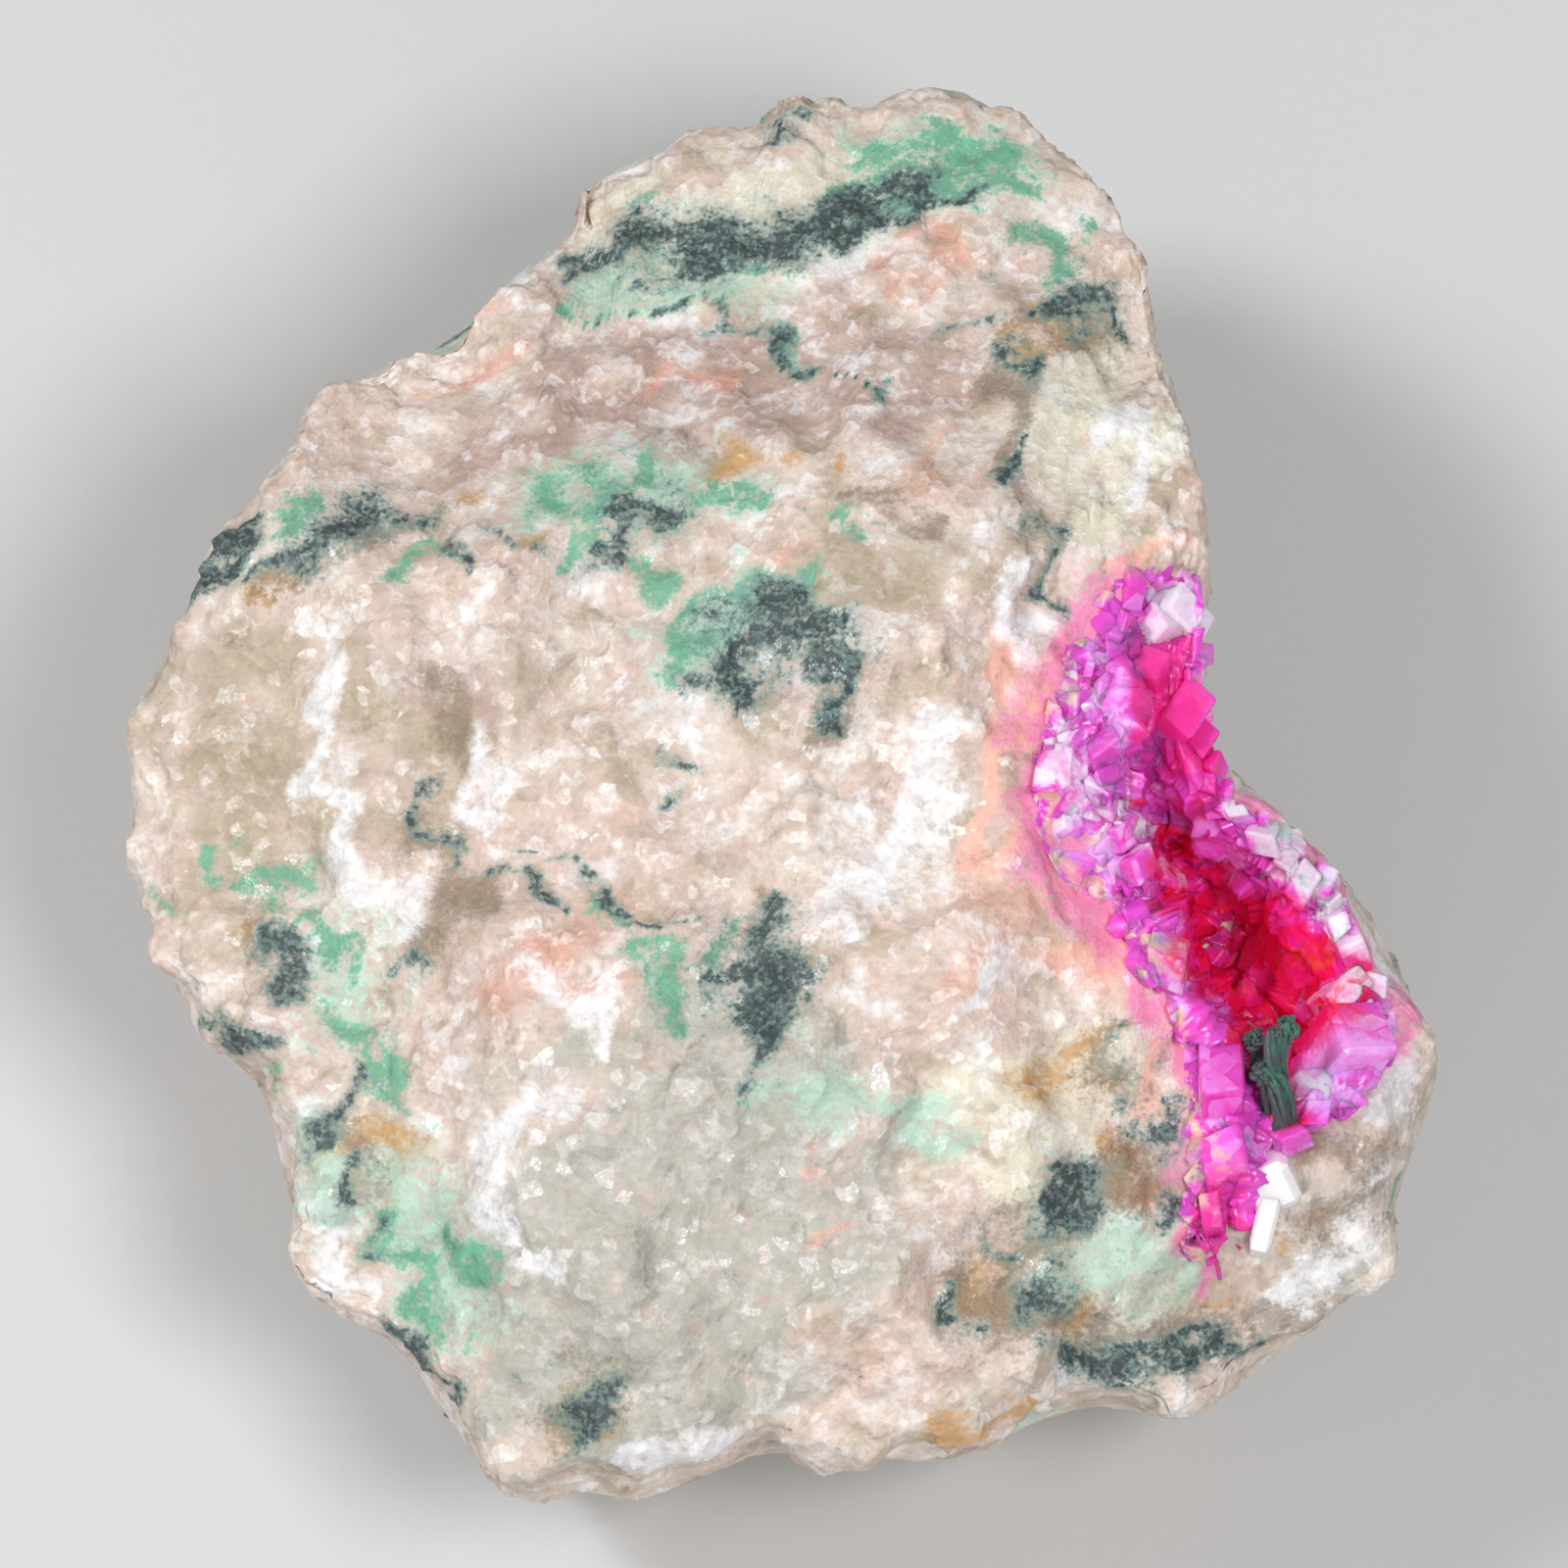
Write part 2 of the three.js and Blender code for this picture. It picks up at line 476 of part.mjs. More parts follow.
// A surface with a level margin round it, wider where the crust overhangs a free edge
function widened(surface, margin) {
  return (down, over) => {
    const [row, column] = [down, over].map((value) => THREE.MathUtils.clamp(value, 0, 1));
    const point = surface(row, column);
    const free = profile.getPoint(row).z;
    point.x += (over > 1 + TINY) * (margin + free) - (over < -TINY) * margin;
    point.y += ((down < -TINY) - (down > 1 + TINY)) * margin;
    return point;
  };
}

// A surface drawn in from the pocket's edges
function narrowed(surface) {
  const inside = (value) => lerp(EDGE_INSET, 1 - EDGE_INSET, value);
  return (down, over) => surface(inside(down), inside(over));
}

// All the space over a surface, up to well above the face
function spaceOver(surface, rings) {
  return seatBlock(surface, (down, over) => surface(down, over).setZ(BLOCK), rings);
}

// A rhomb: a box whose three edge directions are spread evenly round its axis
function rhomb(edge) {
  const spread = Math.sqrt(1 - RHOMB_RISE ** 2);
  const edges = [0, 1, 2].map((i) => {
    const turn = (i * 2 * Math.PI) / 3;
    return new THREE.Vector3(spread * Math.cos(turn), spread * Math.sin(turn), RHOMB_RISE);
  });
  const skew = new THREE.Matrix4().makeBasis(...edges);
  return new THREE.BoxGeometry(edge, edge, edge).applyMatrix4(skew);
}

// A crystal that sits on the crust, its axis near the crust's outward direction
function crystalAt(down, over, { edge, lift, lean, turn }) {
  const outward = seatNormal(down, over);
  const crystal = rhomb(edge).rotateZ(radians(turn));
  crystal.rotateX(radians(lean[0])).rotateY(radians(lean[1]));
  crystal.applyQuaternion(new THREE.Quaternion().setFromUnitVectors(TOWARD, outward));
  const at = overSeat(down, over, CRUST_THICKNESS).addScaledVector(outward, lift);
  return solid(crystal.translate(at.x, at.y, at.z));
}

// Small crystals strewn over the whole crust, by steps that never fall into rows
function scatteredCrystals() {
  const strewn = (i, side) => {
    const margin = SCATTER_MARGIN[side];
    return lerp(margin, 1 - margin, share(i * SCATTER_STEPS[side]));
  };
  return Array.from({ length: SCATTERED_CRYSTALS }, (_, i) => {
    const turn = SCATTER_TURN * i;
    return crystalAt(strewn(i, "down"), strewn(i, "over"), {
      edge: lerp(...CRYSTAL_SIZE, share(i * SCATTER_STEPS.size)),
      lift: SCATTER_LIFT,
      lean: [SCATTER_LEAN * Math.sin(radians(turn)), SCATTER_LEAN * Math.cos(radians(turn))],
      turn,
    });
  });
}

// The rows' and columns' shares of the seat point nearest to a point of the face
function nearestOnSeat([across, up]) {
  let best = { away: Infinity };
  for (let row = 0; row <= SEARCH_STEPS; row++) {
    for (let column = 0; column <= SEARCH_STEPS; column++) {
      const [down, over] = [row / SEARCH_STEPS, column / SEARCH_STEPS];
      const point = seatPoint(down, over);
      const away = Math.hypot(point.x - across, point.y - up);
      if (away < best.away) best = { away, down, over };
    }
  }
  return best;
}

function largeCrystals() {
  return LARGE_CRYSTALS.map((crystal) => {
    const { down, over } = nearestOnSeat(crystal.at);
    return crystalAt(down, over, crystal);
  });
}

function crystalCrust() {
  const under = (down, over) => overSeat(down, over, 0);
  const middle = (down, over) => overSeat(down, over, CRUST_THICKNESS * CRUST_MIDDLE);
  const top = (down, over) => {
    const point = share(CRYSTAL_STEPS[0] * down + CRYSTAL_STEPS[1] * over);
    return overSeat(down, over, CRUST_THICKNESS).add(new THREE.Vector3(0, 0, CRYSTAL_POINTS * point));
  };
  const crystals = joined([...scatteredCrystals(), ...largeCrystals()]);
  return seatBlock(under, top).add(crystals.intersect(spaceOver(narrowed(middle))));
}

// What stands in the pocket

// A strand on a curved path: a lathe-turned spindle, thinner to its tip, bent along the path. Grown,
// it is thicker and longer all round by that much.
function strand({ root, tip, thick, rise, curl }, grow) {
  const seat = nearestOnSeat(root);
  const foot = overSeat(seat.down, seat.over, CRUST_THICKNESS + TUFT_ROOT_DEPTH);
  const head = new THREE.Vector3(...tip, foot.z + rise);
  const knee = foot.clone().lerp(head, KNEE.along);
  knee.add(new THREE.Vector3(-curl[0] / 2, 0, KNEE.rise * rise));
  const end = head.clone().add(new THREE.Vector3(...curl, 0));
  const path = new THREE.CatmullRomCurve3([foot, knee, head, end]);
  const { tangents, normals, binormals } = path.computeFrenetFrames(STRAND_STEPS);
  const outline = Array.from({ length: STRAND_STEPS + 1 }, (_, step) => {
    const taper = 1 - STRAND_TAPER * (step / STRAND_STEPS) ** 2;
    return new THREE.Vector2(thick * taper + grow, step);
  });
  const ends = [new THREE.Vector2(0, 0), new THREE.Vector2(0, STRAND_STEPS)];
  const spindle = new THREE.LatheGeometry([ends[0], ...outline, ends[1]], STRAND_SIDES);
  return solid(
    reshaped(spindle, ({ x, y: step, z }) => {
      const longer = grow * ((step === STRAND_STEPS) - (step === 0));
      const point = path.getPointAt(step / STRAND_STEPS).addScaledVector(tangents[step], longer);
      return point.addScaledVector(normals[step], x).addScaledVector(binormals[step], -z).toArray();
    }),
  );
}

const tuft = (grow) => joined(TUFT_STRANDS.map((one) => strand(one, grow)));

// Two blocky white crystals grown into each other, let into the rock
function whiteCrystals(grow) {
  return joined(
    WHITE_CRYSTALS.map(({ at, half, turn }) => {
      const sides = half.map((length) => 2 * (length + grow));
      const block = new THREE.BoxGeometry(...sides).rotateZ(radians(turn)).rotateX(radians(turn));
      return solid(block.translate(...at, faceHeight(...at) + WHITE_PROUD));
    }),
  );
}

// The specimen

const hollow = spaceOver(widened(seatPoint, SEAT_GAP), 1);
const sockets = tuft(SEAT_GAP).add(whiteCrystals(SEAT_GAP));
const hostRock = joined([wholeStone(), ...oreLumps()])
  .subtract(hollow)
  .subtract(sockets)
  .subtract(belowTheUnderside());
const crust = crystalCrust().subtract(sockets);

const specimen = new THREE.Group();
specimen.add(
  meshOf("host_rock", hostRock, { color: 0xd9c4ae, roughness: 0.62, metalness: 0 }),
  meshOf("pink_crystal_crust", crust, { color: 0xd2189a, roughness: 0.22, metalness: 0 }),
  meshOf("malachite_tuft", tuft(0), { color: 0x12493a, roughness: 0.45, metalness: 0 }),
  meshOf("white_crystals", whiteCrystals(0), { color: 0xf4eef2, roughness: 0.25, metalness: 0 }),
);
specimen.rotation.x = radians(FACE_TILT);
specimen.position.set(-CENTRE_IN_PLAN[0], -CENTRE_IN_PLAN[1], REST_DEPTH);

export default specimen;
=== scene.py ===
"""A specimen of cobaltoan dolomite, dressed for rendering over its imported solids.

The stone is worked out on its face, in millimetres: "across" runs to the right, "up" runs up the face
and "toward" runs out of it. in_frame() tilts the face back and gives metres in the part's frame.
"""

import math

import bpy
import numpy as np
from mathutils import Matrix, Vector


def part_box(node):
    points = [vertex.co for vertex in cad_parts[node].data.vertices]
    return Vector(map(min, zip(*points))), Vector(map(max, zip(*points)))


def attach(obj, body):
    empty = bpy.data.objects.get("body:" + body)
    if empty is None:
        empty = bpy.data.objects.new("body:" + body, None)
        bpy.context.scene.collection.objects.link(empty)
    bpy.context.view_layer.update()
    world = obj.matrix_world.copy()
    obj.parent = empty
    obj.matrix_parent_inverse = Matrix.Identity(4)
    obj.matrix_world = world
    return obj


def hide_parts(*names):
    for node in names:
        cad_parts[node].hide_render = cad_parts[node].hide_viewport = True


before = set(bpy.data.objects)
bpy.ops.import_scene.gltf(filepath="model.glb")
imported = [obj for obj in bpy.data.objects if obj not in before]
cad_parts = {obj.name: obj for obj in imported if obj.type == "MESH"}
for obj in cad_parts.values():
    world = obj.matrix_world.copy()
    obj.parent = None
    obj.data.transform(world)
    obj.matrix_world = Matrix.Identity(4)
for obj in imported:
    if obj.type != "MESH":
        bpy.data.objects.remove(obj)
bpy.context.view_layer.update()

bl_info = {
    "name": "Cobaltoan dolomite specimen",
    "version": (1, 0, 0),
    "blender": (4, 5, 0),
    "location": "3D View > Sidebar > Specimen",
    "description": "Builds the stone, its crystal pocket and the stage round them",
    "category": "Add Mesh",
}

MM = 0.001

# How the face lies in the frame
FACE_TILT = math.radians(25)
REST_DEPTH = 16
CENTRE_IN_PLAN = (-0.05, 1.05)
VIEW_DISTANCE = 0.7  # metres from the middle of the face to the camera
VIEW_WIDTH = 0.05  # metres that the picture spans there

# The stone's driving dimensions, in millimetres of the face
STONE_MIDDLE = (0.0, -1.0)
HALF_WIDTH = 20.0
RIDGE_UP = 7.2  # where the outline starts to fall away, at the middle
RIDGE_ACROSS = 0.06  # how much further up that is for each millimetre across
REAR_DROP = 0.56  # slopes of the outline behind the ridge and in front of the middle
FRONT_RISE = 0.2
FACE_DOME = 10.0  # how far each side would bulge without its facets
BACK_DOME = 22.0
FACE_SQUARENESS = 4.0  # powers of the two bulges' profiles
BACK_SQUARENESS = 2.6
FACET_ROUNDING = 0.35
CHIP_DISH = 0.07
LUMPS = ((9.0, 0.4), (5.2, 0.28), (3.1, 0.16))  # wave length and height
LUMP_BENDS = ((1.7, 0.63), (1.4, 0.7), (1.5, 0.58))  # for each direction: how far waves bend, and how often
RIM_CALM = 0.35  # share of the lumps that the outline keeps
RIM_THICKNESS = 0.35  # share of the bulge that no chip cuts
FLANK_LUMPS = 1.2  # how far the lumps push the walls, as a share of their height
OUTLINE_STEPS = 12  # places on the curve for each point of the outline
PROFILE_STEPS = 2001  # places along a bulge's profile

# The outline as across and up, counterclockwise from the pocket's right rim
OUTLINE = (
    (15.6, -0.9), (14.3, 0.0), (13.3, 1.4), (13.1, 3.1), (13.4, 5.4), (13.1, 7.0), (12.7, 8.6),
    (12.7, 10.6), (11.8, 14.2), (10.7, 17.6), (9.7, 19.1), (7.2, 21.4), (5.3, 22.4), (3.9, 21.9),
    (2.3, 21.2), (0.0, 21.9), (-1.1, 21.0), (-3.4, 20.6), (-6.1, 19.3), (-6.9, 17.7), (-9.4, 15.3),
    (-13.6, 12.2), (-16.4, 9.0), (-18.1, 7.7), (-18.7, 6.0), (-19.4, 4.1), (-20.4, 1.5), (-20.6, -1.0),
    (-20.1, -4.7), (-18.5, -7.6), (-16.9, -8.6), (-16.2, -11.0), (-14.8, -15.2), (-11.7, -18.4),
    (-10.9, -19.8), (-8.9, -22.0), (-5.4, -22.4), (-3.1, -22.2), (-0.6, -21.2), (1.3, -21.3),
    (3.3, -20.7), (5.3, -21.3), (9.2, -19.8), (12.6, -19.7), (16.7, -17.1), (18.9, -15.2),
    (19.3, -13.4), (20.4, -10.5), (20.6, -9.2), (19.8, -6.9), (18.6, -4.2),
)

# Broken facets as planes: across, up, height over the outline, slope across and slope up
FACE_FACETS = (
    (0, -1, 8.2, 0.02, -0.2),  # main face
    (0, 8.6, 6.2, -0.04, -0.42),  # upper slope
    (-12, 0, 7.6, 0.42, 0.0),  # left lobe
    (-9, -13, 8.6, 0.5, 0.36),  # lower left flank
    (0, -18, 8.6, -0.05, 0.75),  # foot of the face
    (9, -14, 8.0, -0.42, 0.36),  # lower right flank
    (9, 10, 5.8, -0.55, -0.2),  # right shoulder
    (10, -3, 7.4, -0.3, 0.02),  # pocket side
)
BACK_FACETS = (
    (0, 0, 21.5, 0.0, 0.0),  # under the middle
    (0, 12, 12.5, 0.05, -0.62),  # rear wall
    (-12, 0, 15.0, 0.8, 0.05),  # left wall
    (12, -2, 15.5, -0.85, 0.15),  # right wall
    (0, -14, 17.0, -0.08, 0.7),  # front wall
    (8, 9, 14.0, -0.5, -0.4),  # rear right corner
    (-9, -9, 16.5, 0.5, 0.6),  # front left corner
    (11, -12, 13.5, -0.6, 0.5),  # front right corner
)

# Chips struck off the face: across, up, height of the dished floor, its slope across and up
CHIPS = (
    (-10.6, -0.4, 6.9, 0.18, -0.1),  # beside the step
    (-17.0, -1.4, 5.0, 0.42, 0.05),  # the lobe's face
    (-14.6, 4.2, 6.0, 0.3, -0.2),  # under the left ore
    (-14.4, -5.6, 5.6, 0.25, 0.22),  # the valley's head
    (-12.6, -10.0, 6.4, 0.4, 0.3),  # lower flank, upper
    (-11.6, -15.2, 5.6, 0.55, 0.3),  # lower flank, middle
    (-7.6, -9.4, 9.0, 0.12, -0.1),  # the plateau's edge
    (-1.4, -16.0, 8.4, -0.1, -0.2),  # grey hollow
    (-7.0, -19.6, 6.8, 0.15, 0.6),  # bottom left
    (1.6, -19.4, 6.6, -0.05, 0.6),  # bottom middle
    (6.6, -15.0, 7.6, -0.3, 0.2),  # lower right swelling
    (13.6, -16.4, 4.4, -0.5, 0.35),  # lower right edge
    (10.4, -14.4, 6.6, -0.25, 0.1),  # mint patch
    (2.8, -8.4, 9.3, -0.1, -0.25),  # beside the slate patch
    (4.4, -1.2, 7.7, 0.05, -0.2),  # centre
    (-2.4, 0.4, 7.4, 0.1, -0.1),  # under the ore
    (-6.4, 5.4, 6.4, -0.1, -0.3),  # under the ridge
    (8.4, 5.6, 5.7, -0.3, -0.05),  # the ridge's right end
    (9.2, 9.6, 4.8, -0.45, -0.15),  # right facets, lower
    (9.4, 14.0, 3.4, -0.5, -0.3),  # right facets, upper
    (-10.6, 9.8, 4.6, 0.1, -0.55),  # slope, left
    (-2.6, 12.2, 4.2, 0.12, -0.4),  # slope, middle
    (4.6, 13.4, 3.8, -0.15, -0.35),  # slope, right
    (1.6, 18.0, 1.7, 0.1, -0.35),  # slope, top
)

# Hollows and swellings as oval bells: across, up, half lengths, turn in degrees, height
RELIEF = (
    (-10.4, -0.8, 4.4, 1.9, 80, -1.0),  # long scoop on the left
    (-14.8, -3.6, 5.2, 1.0, 97, -0.9),  # valley beside the left lobe
    (-17.2, -2.4, 4.0, 2.0, 90, 0.6),  # left lobe
    (-0.4, -15.2, 5.0, 2.2, 38, -1.2),  # grey hollow
    (-4.5, -11.0, 4.5, 2.6, 30, 0.5),  # swelling above the grey hollow
    (5.0, -17.2, 4.6, 1.9, 30, 0.8),  # lower right swelling
    (-4.6, 5.6, 5.2, 1.2, 4, -0.7),  # hollow under the ridge
    (5.0, 4.6, 3.4, 2.6, 20, 0.7),  # swelling beside the ore
    (-1.2, 4.0, 1.9, 1.2, 40, -0.7),  # ore pit
    (-9.5, 8.0, 5.5, 0.9, 8, 0.5),  # ridge crest, left
    (4.5, 8.9, 5.5, 0.8, 2, 0.5),  # ridge crest, right
    (-4.0, 12.4, 6.5, 1.6, 22, -0.6),  # slope hollow
    (0.5, 16.6, 6.5, 1.1, 17, -0.7),  # band on the slope
    (5.2, 19.6, 2.4, 1.8, 60, 0.8),  # upper knob
    (8.8, 14.6, 2.0, 3.0, 10, 0.5),  # right shoulder facet
    (2.6, -3.4, 3.6, 3.0, 120, 0.6),  # centre swelling
    (-0.8, -6.8, 1.4, 3.0, 100, -0.6),  # dip beside the ore spur
    (-13.0, -12.6, 4.6, 1.1, 112, 0.6),  # lower flank ledge
    (-16.2, -8.8, 2.0, 0.9, 10, -1.0),  # notch under the left lobe
    (16.8, -13.0, 2.6, 1.5, 60, 0.6),  # the pocket's lower lip
)

# The pocket's rows from top to bottom: left edge, right edge, lip, depth and overhang at a free edge
POCKET_ROWS = (
    (11.5, 7.2, 12.8, 7.0, 11.8, 0.45, 0.0),
    (10.0, 6.2, 13.5, 6.2, 11.0, 0.9, 0.9),
    (9.2, 4.4, 13.5, 4.6, 10.5, 1.5, 0.9),
    (8.4, 2.6, 13.3, 2.9, 10.4, 2.0, 0.9),
    (7.9, 0.9, 13.4, 1.3, 10.5, 2.6, 0.9),
    (7.9, -1.0, 14.6, -0.5, 10.5, 4.8, 0.0),
    (8.7, -2.9, 16.6, -2.0, 10.8, 7.0, 0.0),
    (10.1, -4.2, 17.8, -3.4, 11.0, 8.6, 0.0),
    (11.1, -5.6, 18.7, -5.1, 11.5, 8.8, 0.0),
    (12.0, -7.2, 19.3, -7.0, 12.4, 7.2, 0.0),
    (12.5, -8.8, 19.4, -8.6, 13.6, 4.2, 0.0),
    (12.7, -10.5, 17.9, -10.2, 14.0, 2.0, 0.0),
    (12.8, -12.2, 15.0, -12.0, 13.5, 1.2, 0.0),
    (12.7, -14.2, 14.7, -14.2, 13.4, 1.0, 0.0),
    (13.2, -15.8, 14.5, -15.6, 13.7, 0.7, 0.0),
)
SEAT_GAP = 0.32  # from the rock to the solid crust
LIP_RECESS = 0.5  # how far the seat lies under the face at its edges
LIP_STEEPNESS = 0.24  # share of the way from the lip to the right edge that the left wall takes
RIGHT_WALL_BEND = 1.5  # power that hollows the right wall
FREE_OVERHANG = 0.3  # overhang from which an edge counts as free
POCKET_REACH = (6.5, -16.6, 8.0)  # from here to the right, and up between these
SEARCH_ROUNDS = 5
HALVINGS = 20
NORMAL_STEP = 0.05
CRUST_THICKNESS = 0.7
CRUST_EDGE_STEEPNESS = 6  # how fast the crust reaches its thickness from its edges inward
RELIEF_EDGE_STEEPNESS = 12  # the same for its crystal faces
CRYSTAL_EDGE_STEEPNESS = 5  # and for the crystals' size
CRUST_STEEPEST = 0.3  # the least that a wall may face the front, as its thickness is worked out
EDGE_DIVE = 0.2  # how far the crust's edges lie under the face
PROUD_FREELY = 0.3  # how far the crust may stand out of the face
PROUD_CUT = 0.75  # share of anything further out that is cut
RIM_TRIM = 0.09  # share of its width by which the crust stops short of the outline
TRIM_ENDS = (0.7, 0.8)  # shares of the way down between which the trim fades out
DENSE_FROM = 0.86  # share of the width from which the grid's columns lie closer
CRUST_GRID = (250, 130)
STREWING_GRID = (160, 90)  # the one that small crystals are strewn over
CRUST_UNDERSIDE = 0.1  # how far the crust reaches into the rock
BARE_RECESS = 0.05  # how far the visible rock lies under its face where the crust grows out of it
RHOMB_RISE = 0.46  # how far a rhomb's edges rise along its axis
RHOMB_SPREAD = math.sqrt(1 - RHOMB_RISE**2)
RHOMB_BLUNT = 0.14  # share of a half edge that is cut off
BLOCK_BLUNT = 0.32

# Small broken faces: size and steepness
BROKEN_SIZES = ((2.6, 0.12), (1.1, 0.16), (0.55, 0.2))
CRYSTAL_FACES = ((1.9, 0.5), (0.9, 0.4), (0.45, 0.3))
OUTLINE_RELIEF = 0.25  # share of the broken faces' height that the outline keeps
SMOOTH_RELIEF = 0.35  # the same for the crust's smooth places

# Small crystals
SMALL_CRYSTALS = (0.3, 1.1)  # shortest and longest edge
LARGER_CRYSTALS = (0.12, 1.4)  # share of them that are larger, and how many times
PALE_CRYSTALS = (0.1, 0.2, 0.7)  # share of them that are pale, and how pale
EDGE_CRYSTALS = 0.4  # share of their size that they have at the pocket's edges
CRYSTAL_LEAN = 0.5
CRYSTAL_SINK = (0.2, 0.6)  # shares of an edge by which they sit in the crust
SMOOTH_SINK = 0.7  # how much deeper they sit in its smooth places
UNEVEN_EDGES = (0.65, 1.35)  # lengths of a crystal's own edges against each other

# How far marks wander: wave length and reach
MARK_WANDER = ((2.6, 0.3), (1.2, 0.08))
TINT_WANDER = ((4.0, 0.8), (1.5, 0.15))
POCKET_WANDER = ((2.0, 0.3), (0.9, 0.1))
WAVES_OF_A_LENGTH = 5
FAR_OUTSIDE = 4.0  # a vein field's value far from any vein, without its minus sign
WALL_START = 0.88  # share of the reach where the walls start
WALL_BLEND = (0.02, 0.06)  # shares before and after that start over which drops come to count
WALL_EDGE = 1.0  # how far the walls first drop
BEHIND_DROPS = (1.0, 3.0)  # drops between which the face's marks give way to the hidden ones
HIDDEN_IN_FRONT = 0.3  # share of the hidden veins that lie on the face's own walls

# Marks on the face. A vein is a chain of across, up and half width, which may be a single spot.
ORE_VEINS = {
    "upper vein": ((-7.3, 16.4, 0.25), (-5.6, 16.8, 0.45), (-4.7, 17.5, 0.75), (-2.5, 17.3, 0.6),
                   (-1.3, 17.3, 0.5), (0.6, 17.6, 0.5), (1.9, 18.1, 0.4), (4.7, 19.1, 0.25),
                   (6.3, 19.3, 0.15)),
    "green vein": ((-6.3, 15.3, 0.08), (-4.7, 15.2, 0.13), (-2.0, 15.0, 0.24), (-1.3, 14.5, 0.2),
                   (0.9, 13.4, 0.12), (2.0, 12.8, 0.1), (3.3, 12.0, 0.06)),
    "left band": ((-16.7, 6.6, 0.22), (-14.7, 7.7, 0.42), (-13.3, 8.6, 0.35), (-11.6, 8.4, 0.2)),
    "plate's arm": ((-5.7, 8.5, 0.35), (-3.5, 8.7, 0.35)),
    "plate's leg": ((-5.2, 8.7, 0.45), (-5.2, 7.2, 0.4)),
    "bird spot": ((-9.0, 8.0, 0.2), (-8.5, 7.6, 0.3)),
    "ring spot": ((-8.2, 9.8, 0.16),),
    "centre, left": ((-1.4, 2.6, 0.4), (-1.5, 3.8, 0.75), (-1.1, 4.8, 0.75), (0.5, 6.2, 0.35)),
    "centre, right": ((0.6, 5.2, 0.5), (1.6, 4.5, 0.7), (1.5, 3.4, 0.45), (1.7, 2.2, 0.2)),
    "centre, between": ((-0.9, 4.6, 0.35), (1.0, 4.7, 0.35)),
    "centre, low left": ((-2.7, 3.0, 0.35),),
    "dot": ((-3.3, 0.8, 0.2),),
    "green dot": ((-3.9, -0.6, 0.28),),
    "lobe patch": ((-15.9, -4.5, 0.35), (-15.6, -5.5, 0.45), (-15.7, -6.5, 0.3)),
    "upper knob": ((-18.7, 6.4, 0.5), (-17.8, 7.5, 0.5), (-17.0, 8.1, 0.3)),
    "lower knob": ((-17.8, -7.9, 0.4), (-16.8, -8.2, 0.35)),
    "flank spots": ((-13.4, -9.2, 0.25), (-14.0, -10.3, 0.22), (-14.8, -11.4, 0.2)),
    "flank spot": ((-13.4, -12.1, 0.35), (-13.5, -12.7, 0.2)),
    "low spot": ((-12.7, -14.4, 0.2),),
    "edge vein": ((-12.2, -17.2, 0.22), (-11.6, -18.1, 0.32), (-10.6, -20.0, 0.35)),
    "thin crack": ((-8.0, -2.0, 0.1), (-6.3, -3.1, 0.08), (-5.0, -3.9, 0.12), (-2.5, -5.0, 0.1)),
    "crack specks": ((-9.1, -3.1, 0.16), (-7.8, -3.4, 0.12), (-6.8, -3.7, 0.12)),
    "slate patch": ((0.0, -4.1, 0.2), (-0.3, -5.3, 0.5), (-0.6, -6.4, 0.9), (-0.9, -7.2, 0.7),
                    (-0.8, -8.1, 0.4), (-0.6, -8.9, 0.28)),
    "slate arms": ((-1.8, -5.8, 0.3), (-0.6, -6.2, 0.6), (0.6, -6.3, 0.4)),
    "slate dot": ((10.8, -8.0, 0.4),),
    "below the dot": ((10.6, -9.8, 0.3),),
    "cluster, top": ((11.4, -11.3, 0.35), (12.2, -10.9, 0.6)),
    "cluster, middle": ((8.4, -12.3, 0.35), (9.1, -13.1, 0.75), (10.3, -13.0, 0.35)),
    "cluster, right": ((11.9, -13.6, 0.35), (12.6, -12.9, 0.2)),
    "dendrite": ((5.0, -15.6, 0.2), (5.3, -16.9, 0.33)),
    "cluster, low": ((6.7, -14.5, 0.3),),
    "cluster, foot": ((7.6, -16.4, 0.4), (8.5, -15.9, 0.42)),
    "lumps": ((8.8, -17.7, 0.3), (9.7, -18.3, 0.6), (10.8, -18.6, 0.5), (11.9, -18.1, 0.4)),
    "smear": ((12.5, -17.8, 0.25), (15.0, -17.6, 0.2)),
    "shoulder patch": ((8.1, 14.7, 0.3), (9.4, 15.3, 0.6), (10.2, 15.5, 0.5), (10.7, 14.1, 0.12)),
    "shoulder spot": ((5.1, 14.8, 0.2),),
    "shoulder arc": ((6.0, 15.2, 0.2), (6.6, 15.3, 0.25)),
    "shoulder low": ((7.5, 13.4, 0.25),),
    "dark crack": ((7.7, 11.3, 0.08), (7.5, 10.0, 0.2), (6.9, 9.4, 0.12)),
    "top bump": ((-0.1, 21.6, 0.4),),
    "blue-grey spot": ((8.4, 8.0, 0.38),),
    "crack by the pocket": ((8.2, 6.9, 0.18), (8.8, 5.2, 0.16)),
    "specks, left": ((-11.4, -0.8, 0.22), (-10.8, -1.6, 0.15), (-10.6, -2.5, 0.2)),
    "speck, low left": ((-11.3, -5.6, 0.25),),
    "dots on the ridge": ((-10.0, 7.8, 0.12), (-10.3, 6.6, 0.1)),
    "olive stain": ((-6.3, -19.7, 0.7), (-5.6, -19.2, 0.5)),
}
